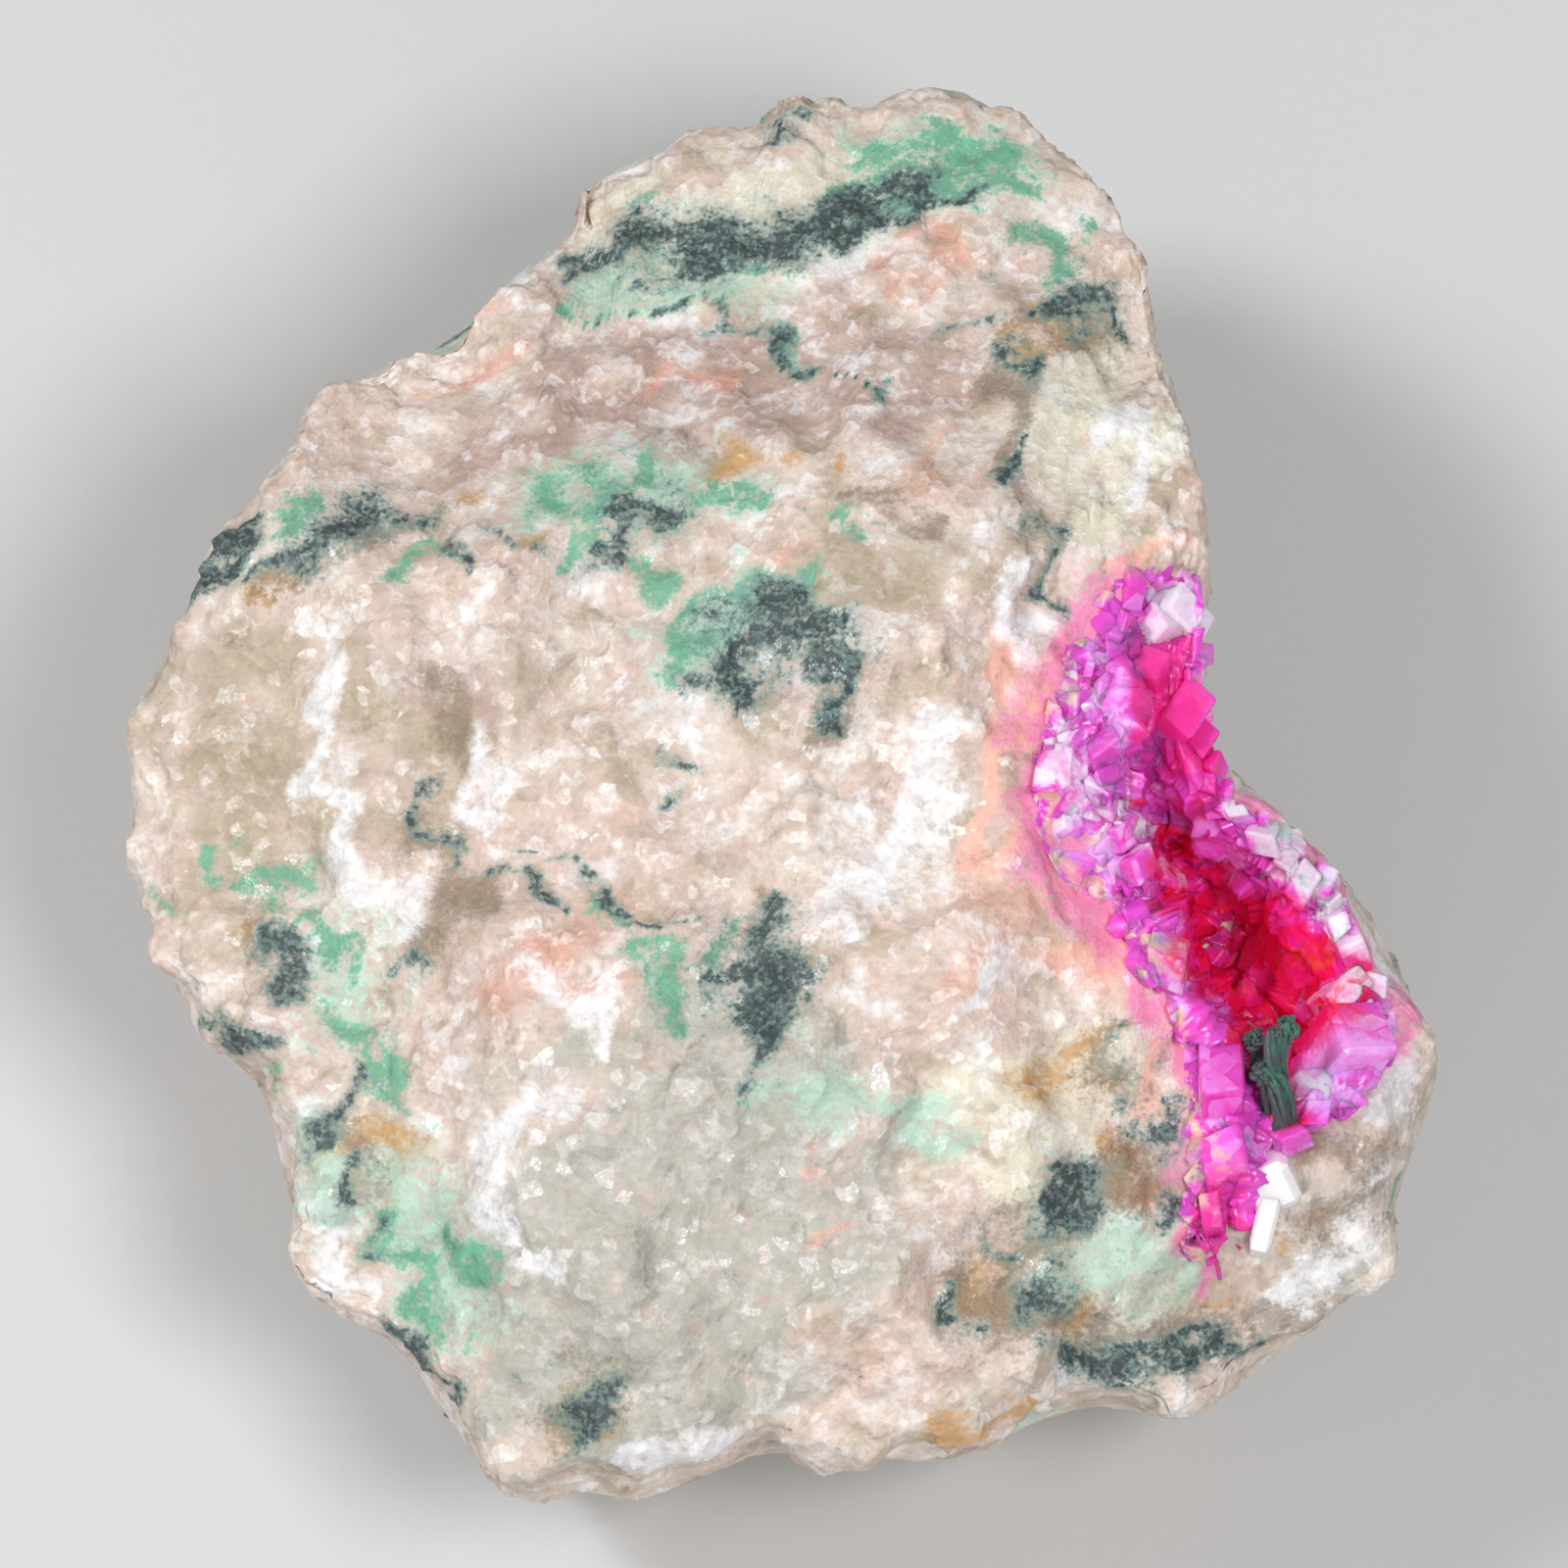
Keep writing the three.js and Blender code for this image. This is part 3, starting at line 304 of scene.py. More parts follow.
MALACHITE_VEINS = {
    "top, left": ((2.5, 20.9, 0.5), (3.6, 20.4, 0.5)),
    "top, right": ((5.0, 20.9, 0.8), (6.7, 20.3, 0.9), (7.6, 20.2, 0.4)),
    "along the vein": ((1.9, 18.5, 0.4), (4.0, 19.3, 0.4), (6.0, 19.6, 0.4), (8.0, 19.4, 0.25)),
    "top, far left": ((-5.0, 19.1, 0.45),),
    "under the vein": ((-3.0, 16.9, 0.25), (0.0, 16.7, 0.3)),
    "flecks": ((7.3, 17.5, 0.25), (9.1, 16.7, 0.4)),
    "fleck": ((9.7, 17.7, 0.3),),
    "green vein": ((-6.8, 15.3, 0.16), (-2.0, 15.1, 0.22), (3.3, 12.0, 0.12)),
    "left mint": ((-15.6, 8.6, 0.5), (-14.6, 8.9, 0.3)),
    "ridge dots": ((-12.5, 6.4, 0.25), (-12.0, 7.0, 0.22), (-11.3, 7.4, 0.24), (-10.2, 7.4, 0.16)),
    "plate's halo": ((-7.4, 9.2, 0.35), (-6.2, 8.6, 0.5), (-5.0, 9.9, 0.4), (-4.0, 9.7, 0.3)),
    "plate's left": ((-7.0, 7.3, 0.3), (-6.2, 7.6, 0.3)),
    "plate's foot": ((-4.7, 7.2, 0.3), (-4.2, 6.4, 0.35)),
    "plate's right": ((-2.8, 8.9, 0.3), (-1.7, 9.6, 0.35)),
    "thin line": ((-2.0, 9.1, 0.12), (0.0, 8.8, 0.1), (2.6, 8.2, 0.12)),
    "centre's halo": ((-3.5, 3.2, 0.35), (-3.3, 4.6, 0.4), (-2.4, 5.9, 0.45), (-1.2, 5.9, 0.4),
                      (1.0, 6.6, 0.4)),
    "lobe, upper": ((-18.4, -2.7, 0.2), (-16.6, -3.1, 0.35), (-15.0, -2.8, 0.3)),
    "lobe, edge": ((-19.5, -3.6, 0.2),),
    "valley": ((-14.7, -4.1, 0.4), (-14.2, -5.3, 0.25), (-13.8, -6.2, 0.3)),
    "valley, low": ((-14.4, -7.4, 0.4), (-13.1, -8.2, 0.45), (-12.4, -9.8, 0.35), (-11.6, -10.3, 0.25)),
    "notch": ((-16.0, -9.1, 0.35),),
    "low left": ((-12.8, -14.1, 0.35), (-11.6, -15.2, 0.4), (-11.0, -17.3, 0.4)),
    "low, right": ((-10.6, -13.8, 0.25), (-10.0, -15.0, 0.4), (-8.9, -15.2, 0.28)),
    "slate's left": ((-4.8, -5.3, 0.4), (-3.4, -6.3, 0.55), (-3.1, -7.4, 0.35)),
    "slate's top": ((-1.7, -5.0, 0.3),),
    "slate's foot": ((-0.8, -9.6, 0.25),),
    "crack": ((-6.0, -3.4, 0.25), (-4.8, -4.2, 0.2)),
}
MINT_VEINS = {
    "lower right": ((8.8, -14.7, 1.2), (10.9, -15.0, 1.3), (12.6, -15.2, 0.5)),
    "slate's right": ((0.6, -9.7, 0.9), (3.0, -10.2, 0.6), (5.4, -11.2, 0.5)),
    "low left": ((-12.4, -12.0, 1.0), (-10.6, -16.0, 1.2)),
    "valley": ((-14.0, -6.5, 1.3),),
    "flank": ((-14.6, -11.0, 0.7), (-14.2, -13.2, 0.9)),
    "slope": ((-6.0, 15.9, 0.6), (-1.0, 15.9, 0.7)),
    "top": ((3.0, 20.8, 1.0), (7.0, 20.4, 1.2)),
    "plate": ((-7.4, 9.2, 0.9), (-4.6, 9.2, 1.1), (-1.6, 9.4, 0.6)),
    "centre": ((-3.3, 4.0, 0.8), (-1.4, 6.0, 0.8)),
}
OCHRE_VEINS = {
    "ridge": ((-2.0, 9.8, 0.25), (-1.3, 10.3, 0.3), (-0.2, 10.6, 0.3)),
    "ridge, right": ((1.9, 10.2, 0.2),),
    "ridge, left": ((-10.3, 9.1, 0.35),),
    "left band": ((-16.6, 6.1, 0.25), (-15.8, 6.5, 0.3)),
    "bird spot": ((-8.0, 7.7, 0.28),),
    "plate": ((-10.1, 7.1, 0.2),),
    "lobe": ((-17.2, -4.5, 0.35), (-16.4, -5.0, 0.3)),
    "flank": ((-14.3, -11.5, 0.45), (-13.2, -11.0, 0.4), (-11.8, -11.4, 0.35)),
    "olive stain": ((-7.1, -20.3, 0.45), (-6.6, -19.0, 0.4), (-5.4, -20.0, 0.5)),
    "under the dot": ((8.6, -9.2, 0.5), (9.8, -8.2, 0.6), (11.3, -7.6, 0.35)),
    "under the dot, left": ((7.6, -9.5, 0.35),),
    "cluster": ((10.2, -11.4, 0.5), (10.6, -12.4, 0.5), (13.0, -13.2, 0.3)),
    "cluster, left": ((6.3, -15.3, 0.5), (6.0, -16.4, 0.35), (9.4, -16.9, 0.4)),
    "amber spot": ((15.6, -14.2, 0.35),),
    "pocket's foot": ((14.1, -16.2, 0.3),),
    "bottom edge": ((5.0, -20.6, 0.45), (8.0, -20.0, 0.3)),
    "shoulder": ((7.6, 14.0, 0.4), (9.2, 14.4, 0.3)),
}
BROWN_VEINS = {
    "between the lumps": ((7.0, -14.6, 0.9), (9.0, -14.2, 0.7), (10.2, -12.4, 0.7), (11.8, -12.4, 0.6)),
    "cluster, left": ((5.2, -15.4, 0.6), (6.4, -16.8, 0.9), (8.4, -16.6, 0.6)),
    "smear": ((9.6, -17.6, 0.6), (12.0, -17.4, 0.9), (14.4, -17.6, 0.7), (16.4, -16.8, 0.4)),
    "under the cluster": ((12.2, -11.6, 0.5), (13.0, -13.0, 0.3)),
    "beside the dot": ((10.2, -8.0, 0.5), (10.6, -9.8, 0.5)),
    "right of the ore": ((1.8, 3.4, 1.0), (1.4, 1.8, 0.4)),
    "round the slate": ((-0.6, -4.2, 0.5), (-0.4, -6.4, 1.1), (-0.8, -8.4, 0.5)),
    "shoulder": ((7.6, 14.6, 0.6), (9.6, 15.0, 1.1), (10.6, 14.2, 0.5)),
    "shoulder, low": ((7.4, 13.0, 0.5), (7.0, 10.4, 0.4), (7.6, 9.0, 0.4)),
    "by the pocket": ((8.3, 8.2, 0.6), (8.2, 6.6, 0.35), (8.8, 5.4, 0.3)),
    "left band": ((-16.0, 6.6, 0.6), (-13.6, 8.2, 0.5), (-11.6, 8.3, 0.4)),
    "lobe": ((-16.4, -4.6, 0.8), (-15.6, -6.4, 0.5)),
    "flank": ((-14.0, -10.6, 0.5), (-13.2, -12.4, 0.5)),
    "scoop": ((-10.8, 3.4, 0.4), (-10.4, 1.6, 0.5), (-9.9, 0.2, 0.35)),
    "specks": ((-11.2, -1.2, 0.5), (-10.6, -2.6, 0.45), (-11.2, -5.2, 0.4), (-8.8, -3.0, 0.4)),
    "olive stain": ((-6.9, -20.0, 0.8), (-5.8, -19.0, 0.8)),
    "window": ((16.9, -11.0, 0.8), (18.2, -11.6, 0.6)),
    "frosted corner": ((16.6, -14.0, 0.4), (18.0, -13.4, 0.5), (19.0, -13.0, 0.3)),
    "ridge": ((2.4, 9.0, 0.3), (5.0, 8.0, 0.3)),
}
WHITE_VEINS = {
    "step line": ((-14.2, 5.0, 0.25), (-14.7, 2.0, 0.3), (-14.6, 0.0, 0.35), (-13.6, -2.4, 0.4),
                  (-12.8, -4.1, 0.5)),
    "scoop's edge": ((-9.6, 2.2, 0.35), (-9.3, 0.4, 0.3), (-9.9, -1.2, 0.25)),
    "scoop's foot": ((-12.6, -3.4, 0.7), (-11.6, -4.6, 0.4)),
    "plateau's edge": ((-8.1, -9.4, 0.3), (-9.0, -11.2, 0.35), (-9.4, -13.1, 0.45), (-8.4, -14.6, 0.4),
                       (-7.4, -15.3, 0.3)),
    "over the plateau": ((-8.6, -5.6, 0.4), (-6.4, -6.8, 0.4), (-5.4, -8.6, 0.35)),
    "centre": ((4.6, 1.6, 0.8), (4.8, 0.2, 0.7), (3.4, -2.6, 0.6), (1.6, -3.8, 0.6)),
    "centre, low": ((6.2, -6.4, 0.4), (5.4, -7.0, 0.3)),
    "grain": ((7.1, -5.2, 0.35),),
    "ridge's right end": ((7.2, 6.2, 0.7), (7.6, 4.6, 0.5)),
    "ore's grains": ((0.2, 4.9, 0.25), (1.1, 5.2, 0.22), (2.0, 3.4, 0.2)),
    "frosted corner": ((15.4, -17.0, 0.6), (17.0, -15.4, 0.7), (18.8, -12.6, 0.6)),
    "frosted side": ((19.2, -9.8, 0.7), (20.2, -8.6, 0.4)),
    "right rim": ((14.9, -0.2, 0.6), (17.1, -1.9, 0.7), (18.9, -4.2, 0.7), (20.1, -6.8, 0.6)),
    "foot": ((-4.6, -21.6, 0.5), (-1.0, -20.6, 0.4)),
    "flank": ((-14.6, -13.4, 0.7), (-13.8, -16.0, 0.5)),
    "shoulder": ((11.4, 9.4, 0.5), (10.6, 12.0, 0.4)),
}
PINK_VEINS = {
    "pocket's lip": ((10.6, 6.4, 0.5), (9.4, 5.0, 0.6), (8.6, 3.0, 0.7), (8.0, 1.2, 0.6), (7.9, -0.8, 0.6),
                     (8.8, -2.9, 0.7), (10.3, -4.4, 0.6), (11.3, -6.0, 0.5), (12.2, -7.6, 0.4),
                     (12.6, -9.0, 0.35)),
    "lower strip": ((12.8, -11.0, 0.4), (13.0, -13.0, 0.3), (13.2, -15.4, 0.3)),
    "right rim": ((13.9, 0.2, 0.4), (15.6, -1.6, 0.4), (17.8, -3.6, 0.35), (19.2, -6.4, 0.35),
                  (19.6, -8.6, 0.4)),
}

# Soft tints as oval bells: across, up, half lengths, turn in degrees, strength
TAN_TINTS = (
    (-17.2, 1.0, 2.6, 3.6, 0, 1.3),  # the lobe's window
    (-11.8, 2.0, 1.6, 3.4, 10, 0.8),  # beside the step
    (-7.4, 3.4, 1.6, 3.4, 10, 0.5),  # right of the scoop
    (2.0, 6.2, 3.6, 1.2, 0, 0.8),  # under the ridge
    (4.6, 7.2, 2.4, 1.6, 0, 0.5),
    (-13.6, -12.0, 1.4, 3.4, 20, 0.6),  # lower flank
)
GREY_TINTS = (
    (-3.2, -11.6, 5.6, 3.6, 25, 1.5),  # plateau: grey painted shade where the face turns away from the light
    (16.6, -15.4, 2.2, 1.6, 40, 1.0),  # frosted corner
    (-6.6, -19.0, 3.6, 2.2, 20, 0.9),  # bottom left
    (-1.4, -16.2, 4.4, 2.6, 38, 1.2),  # hollow: grey painted shade in the hollow
    (-9.0, -14.4, 2.2, 2.6, 20, 0.6),
    (16.8, -11.0, 2.0, 1.2, 30, 0.9),  # window by the pocket
    (9.6, 5.6, 0.8, 1.4, 20, 0.6),
)
MAUVE_TINTS = (
    (-5.0, 12.4, 7.0, 1.7, 22, 0.9),  # upper band: mauve streaks, darkened as painted shade of the slope behind the ridge
    (3.0, 12.6, 6.0, 1.8, 14, 0.6),  # upper band, right: the same mauve streaks and painted shade
    (-10.2, 2.4, 0.9, 1.9, 0, 0.9),  # brown streaks in the scoop
    (-4.0, 3.2, 2.6, 2.4, 0, 0.35),  # left of the ore
    (16.8, -11.6, 1.4, 1.1, 30, 0.9),  # grey-brown window
    (0.6, 1.6, 1.8, 1.2, 130, 0.5),  # brown arc
)
SALMON_TINTS = (
    (-3.4, 12.9, 1.1, 0.5, 20, 1.0),
    (-10.3, 12.9, 2.4, 0.6, 38, 0.8),
    (4.8, 17.3, 3.4, 0.6, 12, 0.8),
    (-6.6, -5.2, 2.4, 1.3, 10, 0.8),
    (-5.8, -1.6, 1.6, 1.2, 0, 0.4),
    (1.4, -13.6, 0.8, 0.5, 30, 0.7),
    (3.2, -18.2, 4.0, 1.6, 25, 0.35),
    (4.6, 10.2, 3.0, 1.2, 30, 0.5),
    (-1.4, 7.0, 2.2, 0.8, 0, 0.5),
    (5.8, -5.0, 2.6, 1.6, 20, 0.5),
    (17.0, -13.2, 0.9, 0.6, 0, 0.6),
)
PEACH_TINTS = (
    (7.6, 3.2, 1.1, 1.9, 20, 1.2),  # beside the groove
    (7.1, 0.2, 0.7, 2.4, 0, 1.1),
    (10.3, -5.4, 1.0, 1.6, 30, 0.9),
    (11.6, -7.6, 0.7, 1.4, 20, 0.8),
    (10.8, 6.9, 1.2, 0.7, 0, 1.0),
    (6.6, -4.2, 3.2, 2.2, 30, 0.4),
    (12.8, -9.6, 0.5, 1.2, 10, 0.8),
)
CREAM_TINTS = (
    (0.6, 19.3, 6.4, 1.9, 14, 1.4),  # top cap
    (-3.0, 16.0, 6.0, 0.7, 14, 0.6),
    (10.0, 10.8, 2.0, 3.2, 10, 1.4),  # right shoulder
    (8.6, -10.4, 4.0, 2.2, 20, 1.0),
    (-12.4, -11.4, 1.6, 2.2, 20, 0.4),
)

# The rock's attributes: its veins, how many more are hidden, and their least and largest half widths
MARKS = {
    "ore": (ORE_VEINS, 34, (0.2, 0.8)),
    "malachite": (MALACHITE_VEINS, 34, (0.3, 0.7)),
    "mint": (MINT_VEINS, 16, (0.8, 1.8)),
    "ochre": (OCHRE_VEINS, 14, (0.3, 0.8)),
    "white": (WHITE_VEINS, 18, (0.3, 1.0)),
    "pink": (PINK_VEINS, 0, (0.3, 0.5)),
    "brown": (BROWN_VEINS, 12, (0.4, 1.0)),
}
TINTS = {
    "tan": TAN_TINTS,
    "grey": GREY_TINTS,
    "mauve": MAUVE_TINTS,
    "salmon": SALMON_TINTS,
    "peach": PEACH_TINTS,
    "topcream": CREAM_TINTS,
}

# Crystals that show singly: across, up, edge, lift over the crust, two leans, turn and paleness
LARGE_CRYSTALS = (
    (13.7, -9.4, 2.2, 0.1, 20, -18, 15, 0.0),  # lower left block
    (17.8, -8.4, 2.3, 0.1, -14, 22, 50, 0.1),  # lower right block
    (16.6, -9.6, 1.5, 0.0, 5, 10, 20, 0.6),
    (12.5, 5.4, 1.3, -0.1, 12, 10, 25, 1.0),  # whitish knob crystals
    (12.6, 6.2, 0.9, -0.1, -12, 8, 65, 0.8),
    (11.9, 5.0, 1.1, 0.0, -10, -12, 70, 1.0),
    (11.6, 3.6, 1.3, 0.1, 25, -12, 10, 0.2),
    (10.9, -2.6, 1.4, 0.1, 10, -20, 35, 0.3),
    (12.0, -5.6, 1.3, 0.1, -8, -14, 5, 0.4),
    (12.6, 2.2, 1.3, 0.0, 0, 25, 40, 0.1),
    (15.3, -1.7, 1.1, 0.0, 20, 15, 60, 0.7),
    (11.9, -3.4, 1.3, 0.1, 30, 10, 80, 0.3),  # mauve crystal on the left wall
    (17.6, -6.6, 1.2, 0.0, -20, -10, 30, 0.5),  # pale mauve crystal on the right wall
    (13.4, -13.6, 1.0, 0.1, 10, 5, 20, 0.3),
    (13.8, -11.6, 1.3, 0.1, 15, 15, 45, 0.2),
)

# The deep part of the pocket, as veins
DEEP_CHAINS = (
    ((11.9, -1.2, 0.3), (12.6, -3.2, 1.0), (14.0, -5.0, 1.9), (16.0, -6.0, 2.1), (17.6, -6.2, 1.2)),
    ((15.2, -6.0, 1.6), (15.6, -8.4, 1.4), (15.6, -9.8, 0.8)),
)

# Ovals where the crust is thicker, and where hardly any small crystals stand out, as for the tints
THICKER_PLACES = ((11.7, 2.9, 0.8, 1.7, 8, 0.8),)
SMOOTH_PLACES = (
    (14.6, -4.4, 3.2, 1.8, -40, 0.6),
    (12.2, 2.9, 1.2, 2.0, 8, 1.0),
    (13.7, -9.4, 1.2, 1.2, 0, 1.0),
    (18.0, -8.4, 1.3, 1.3, 0, 1.0),
    (15.6, -5.6, 1.8, 0.8, 20, 0.6),
)

# Places in the pocket by colour: across, up, half lengths, turn in degrees, strength
POCKET_PLACES = {
    "orchid": (
        (8.9, -2.4, 1.2, 0.9, 30, 1.6),  # lip, lower
        (10.0, 5.0, 0.6, 1.0, 0, 0.9),  # beside the purple recess
        (10.2, 2.6, 1.0, 1.5, -10, 0.8),  # left band
        (9.6, -0.4, 1.2, 0.9, 30, 0.7),
        (18.1, -8.4, 1.4, 1.2, 0, 1.4),  # lower right block
        (12.2, -6.8, 0.9, 0.7, -45, 0.9),  # left lip's knob
        (16.7, -9.8, 0.6, 0.8, 0, 1.0),
        (13.0, -11.6, 0.9, 0.7, 0, 0.8),
        (13.9, -13.6, 0.8, 0.8, 0, 0.5),
        (10.6, -4.0, 1.2, 0.6, -45, 0.8),
    ),
    "hot": (
        (12.1, 2.8, 1.1, 1.9, 8, 1.8),  # smooth slab under the knob
        (13.2, 0.4, 0.9, 1.4, 10, 0.9),
        (13.8, -14.6, 0.9, 1.2, 0, 1.5),  # lower strip
        (13.6, -12.6, 0.9, 0.8, 0, 0.7),
        (15.2, -3.2, 1.6, 0.7, -35, 0.6),
    ),
    "purple": (
        (11.0, 4.2, 0.5, 1.0, 0, 1.1),  # recess: painted shade
        (11.7, 1.0, 0.6, 1.0, -20, 0.9),  # dark spots: painted shade lower down the same recess
        (13.7, -9.4, 0.9, 0.9, 0, 0.7),  # lower left block
        (10.6, -2.2, 0.6, 0.5, 0, 0.6),
    ),
    "ember": (
        (16.2, -5.4, 1.6, 0.7, 10, 1.0),
        (14.8, -6.7, 1.0, 0.5, 0, 1.0),
        (11.9, -2.4, 0.4, 0.8, 0, 0.8),
        (12.7, -10.0, 0.3, 1.0, 0, 1.0),  # lower left block's edge
        (14.2, -16.0, 0.8, 0.4, -20, 1.6),  # strip's foot
        (13.0, -15.0, 0.3, 0.9, 0, 0.9),
        (17.2, -7.4, 0.6, 0.5, 0, 0.6),
    ),
    "pale": (
        (8.8, 1.2, 0.7, 1.5, 0, 0.9),  # halo inside the lip
        (10.9, -0.8, 0.35, 1.1, -12, 1.0),  # long lavender crystal
        (12.9, 5.2, 0.6, 0.6, 0, 1.4),  # knob crystals
        (11.8, 4.8, 0.4, 0.4, 0, 1.2),
        (17.4, -3.6, 3.4, 0.7, -52, 1.6),  # along the right rim
        (9.4, -0.4, 1.0, 1.6, 0, 0.7),  # left band
        (10.2, -3.4, 1.0, 0.5, -30, 0.5),
        (18.6, -6.6, 0.6, 1.2, 10, 0.7),
        (14.2, -0.6, 0.5, 0.4, 0, 0.8),
    ),
}

# The tuft's strands: root and tip on the face, rise over the crust, curl at the tip, and thickness
TUFT_STRANDS = (
    ((15.5, -10.9), (15.6, -7.8), 1.9, (0.2, 0.1), 0.66),
    ((15.2, -9.9), (15.0, -8.2), 2.2, (-0.1, 0.1), 0.56),
    ((15.7, -11.4), (15.4, -9.2), 1.2, (-0.3, 0.1), 0.5),
)
TUFT_ROOT_DEPTH = -0.5
TUFT_TURNS = (1.0, 5.0)  # how far a fibre winds round its strand
TUFT_REACH = (0.15, 0.72)  # how far it lies from the strand's middle, in strand thicknesses
TUFT_WIDTHS = (0.12, 0.26)  # its half width, in the same way
TUFT_HEAD = 0.4  # length of the short fibres at a strand's tip
TUFT_HEAD_WIDTH = 0.11  # their half width
TUFT_STEPS = 26
TUFT_SIDES = 6
TUFT_KNEE = (0.45, 0.12)  # where a strand bends first, and by what share of its rise

# White crystals: across, up, half lengths across, up and out, and turn
WHITE_BLOCKS = (
    (15.45, -12.5, 0.7, 0.8, 0.8, 24),
    (15.15, -13.9, 0.36, 0.95, 0.6, -14),
    (15.1, -12.95, 0.4, 0.4, 0.6, 70),
)
WHITE_PROUD = 0.3

FLOOR_HALF_WIDTH = 1.5  # metres
FLOOR_GAP = 0.00005

# Lights: place from the middle of the face, width in metres and share of the key light's power
LIGHTS = {
    "key": ((-0.26, 0.02, 0.38), 0.12, 0.8),
    "fill": ((0.13, -0.20, 0.44), 0.12, 0.95),
    "front": ((-0.05, -0.38, 0.20), 0.20, 0.15),
}


# Geometry helpers


def in_frame(points):
    """Points of the face, in millimetres, turned back by the tilt and moved into the frame, in metres."""
    across, up, toward = np.moveaxis(np.asarray(points, float), -1, 0)
    y = up * math.cos(FACE_TILT) - toward * math.sin(FACE_TILT)
    z = up * math.sin(FACE_TILT) + toward * math.cos(FACE_TILT)
    places = (across - CENTRE_IN_PLAN[0], y - CENTRE_IN_PLAN[1], z + REST_DEPTH)
    return MM * np.stack(places, -1)


def smooth(value, low, high):
    """0 below low, 1 above high, and 3t² - 2t³ between them."""
    t = np.clip((value - low) / (high - low), 0, 1)
    return t * t * (3 - 2 * t)


def lerp(low, high, share):
    """The value at a share of the way from low to high."""
    return low + (high - low) * share


def curve_through(points, closed=False):
    """A smooth curve through points, as a function of shares from 0 to 1. Each span between two points is
    a cubic whose slopes come from its neighbours, weighted by the square roots of the distances."""
    points = np.asarray(points, float)
    before, after = 2 * points[:1] - points[1:2], 2 * points[-1:] - points[-2:-1]
    padded = np.vstack([points[-1:], points, points[:2]] if closed else [before, points, after])
    spans = len(points) if closed else len(points) - 1

    def at(shares):
        place = np.clip(shares, 0, 1) * spans
        span = np.minimum(place.astype(int), spans - 1)
        t = (place - span)[..., None]
        a, b, c, d = (padded[span + i] for i in range(4))
        steps = ((a, b), (b, c), (c, d))
        ab, bc, cd = (np.sqrt(np.linalg.norm(q - p, axis=-1, keepdims=True)) for p, q in steps)
        bc = np.maximum(bc, 1e-4)
        ab, cd = np.where(ab < 1e-4, bc, ab), np.where(cd < 1e-4, bc, cd)
        start = bc * ((b - a) / ab - (c - a) / (ab + bc) + (c - b) / bc)
        end = bc * ((c - b) / bc - (d - b) / (bc + cd) + (d - c) / cd)
        square = 3 * (c - b) - 2 * start - end
        cube = 2 * (b - c) + start + end
        return b + t * (start + t * (square + t * cube))

    return at


def bells(ovals, across, up):
    """Sum of oval bells: strength times e to the minus squared distance, in half lengths."""
    total = np.zeros_like(across)
    for x, y, half_along, half_aside, turn, strength in ovals:
        cos, sin = math.cos(math.radians(turn)), math.sin(math.radians(turn))
        along = ((across - x) * cos + (up - y) * sin) / half_along
        aside = ((up - y) * cos - (across - x) * sin) / half_aside
        total += strength * np.exp(-(along**2) - aside**2)
    return total


def hashed(cells, salt):
    """A number from 0 to 1 for each whole-numbered cell, from the fraction of a large sine."""
    mixed = cells @ np.array([127.1, 311.7, 74.7]) + salt * 19.19
    return np.modf(np.abs(np.sin(mixed) * 43758.5453))[0]


def broken_faces(points, size, tilt):
    """Relief like small cleavage faces. Space is parted round one random point in each cell of a cubic
    grid, and each part is a plane of its own slope, so the height is slope times distance from it."""
    scaled = points / size
    home = np.floor(scaled)
    nearest = np.full(len(points), np.inf)
    height = np.zeros(len(points))
    steps = np.stack(np.meshgrid(*[[-1, 0, 1]] * 3, indexing="ij"), -1).reshape(-1, 3)
    for step in steps:
        cells = home + step
        heart = cells + np.stack([hashed(cells, salt) for salt in (1, 2, 3)], -1)
        away = scaled - heart
        distance = (away**2).sum(-1)
        slope = np.stack([hashed(cells, salt) for salt in (4, 5, 6)], -1) * 2 - 1
        closer = distance < nearest
        nearest = np.where(closer, distance, nearest)
        face = (away * slope).sum(-1) + 0.5 * (hashed(cells, 7) - 0.5)
        height = np.where(closer, face, height)
    return height * size * tilt


def unit(vectors):
    """Vectors divided by their lengths."""
    return vectors / np.maximum(np.linalg.norm(vectors, axis=-1, keepdims=True), 1e-9)


def grid_normals(points):
    """Directions square to a grid of points, from the cross product of the steps to the next row and to
    the next column."""
    return unit(np.cross(np.gradient(points, axis=0), np.gradient(points, axis=1)))


def grid_faces(rows, columns, wrapped=False):
    """Four-cornered faces of a grid of vertices, facing the way that grid_normals points."""
    numbers = np.arange(rows * columns).reshape(rows, columns)
    if wrapped:
        numbers = np.hstack([numbers, numbers[:, :1]])
    corners = (numbers[:-1, :-1], numbers[1:, :-1], numbers[1:, 1:], numbers[:-1, 1:])
    return np.stack([c.ravel() for c in corners], -1)


# The stone's form, the same as its solid's

outline_shares = np.linspace(0, 1, OUTLINE_STEPS * len(OUTLINE), endpoint=False)
outline_points = curve_through(OUTLINE, closed=True)(outline_shares) - STONE_MIDDLE
outline_turns = np.arctan2(outline_points[:, 1], outline_points[:, 0])
outline_reaches = np.hypot(outline_points[:, 0], outline_points[:, 1])


def outline_reach(turn):
    """How far the outline lies from the stone's middle in a direction of the face."""
    return np.interp(turn, outline_turns, outline_reaches, period=2 * np.pi)


def rim_height(across, up):
    """How far toward the front the outline lies."""
    behind = up - RIDGE_UP - RIDGE_ACROSS * across
    return FRONT_RISE * np.maximum(-up, 0) - REAR_DROP * np.maximum(behind, 0)


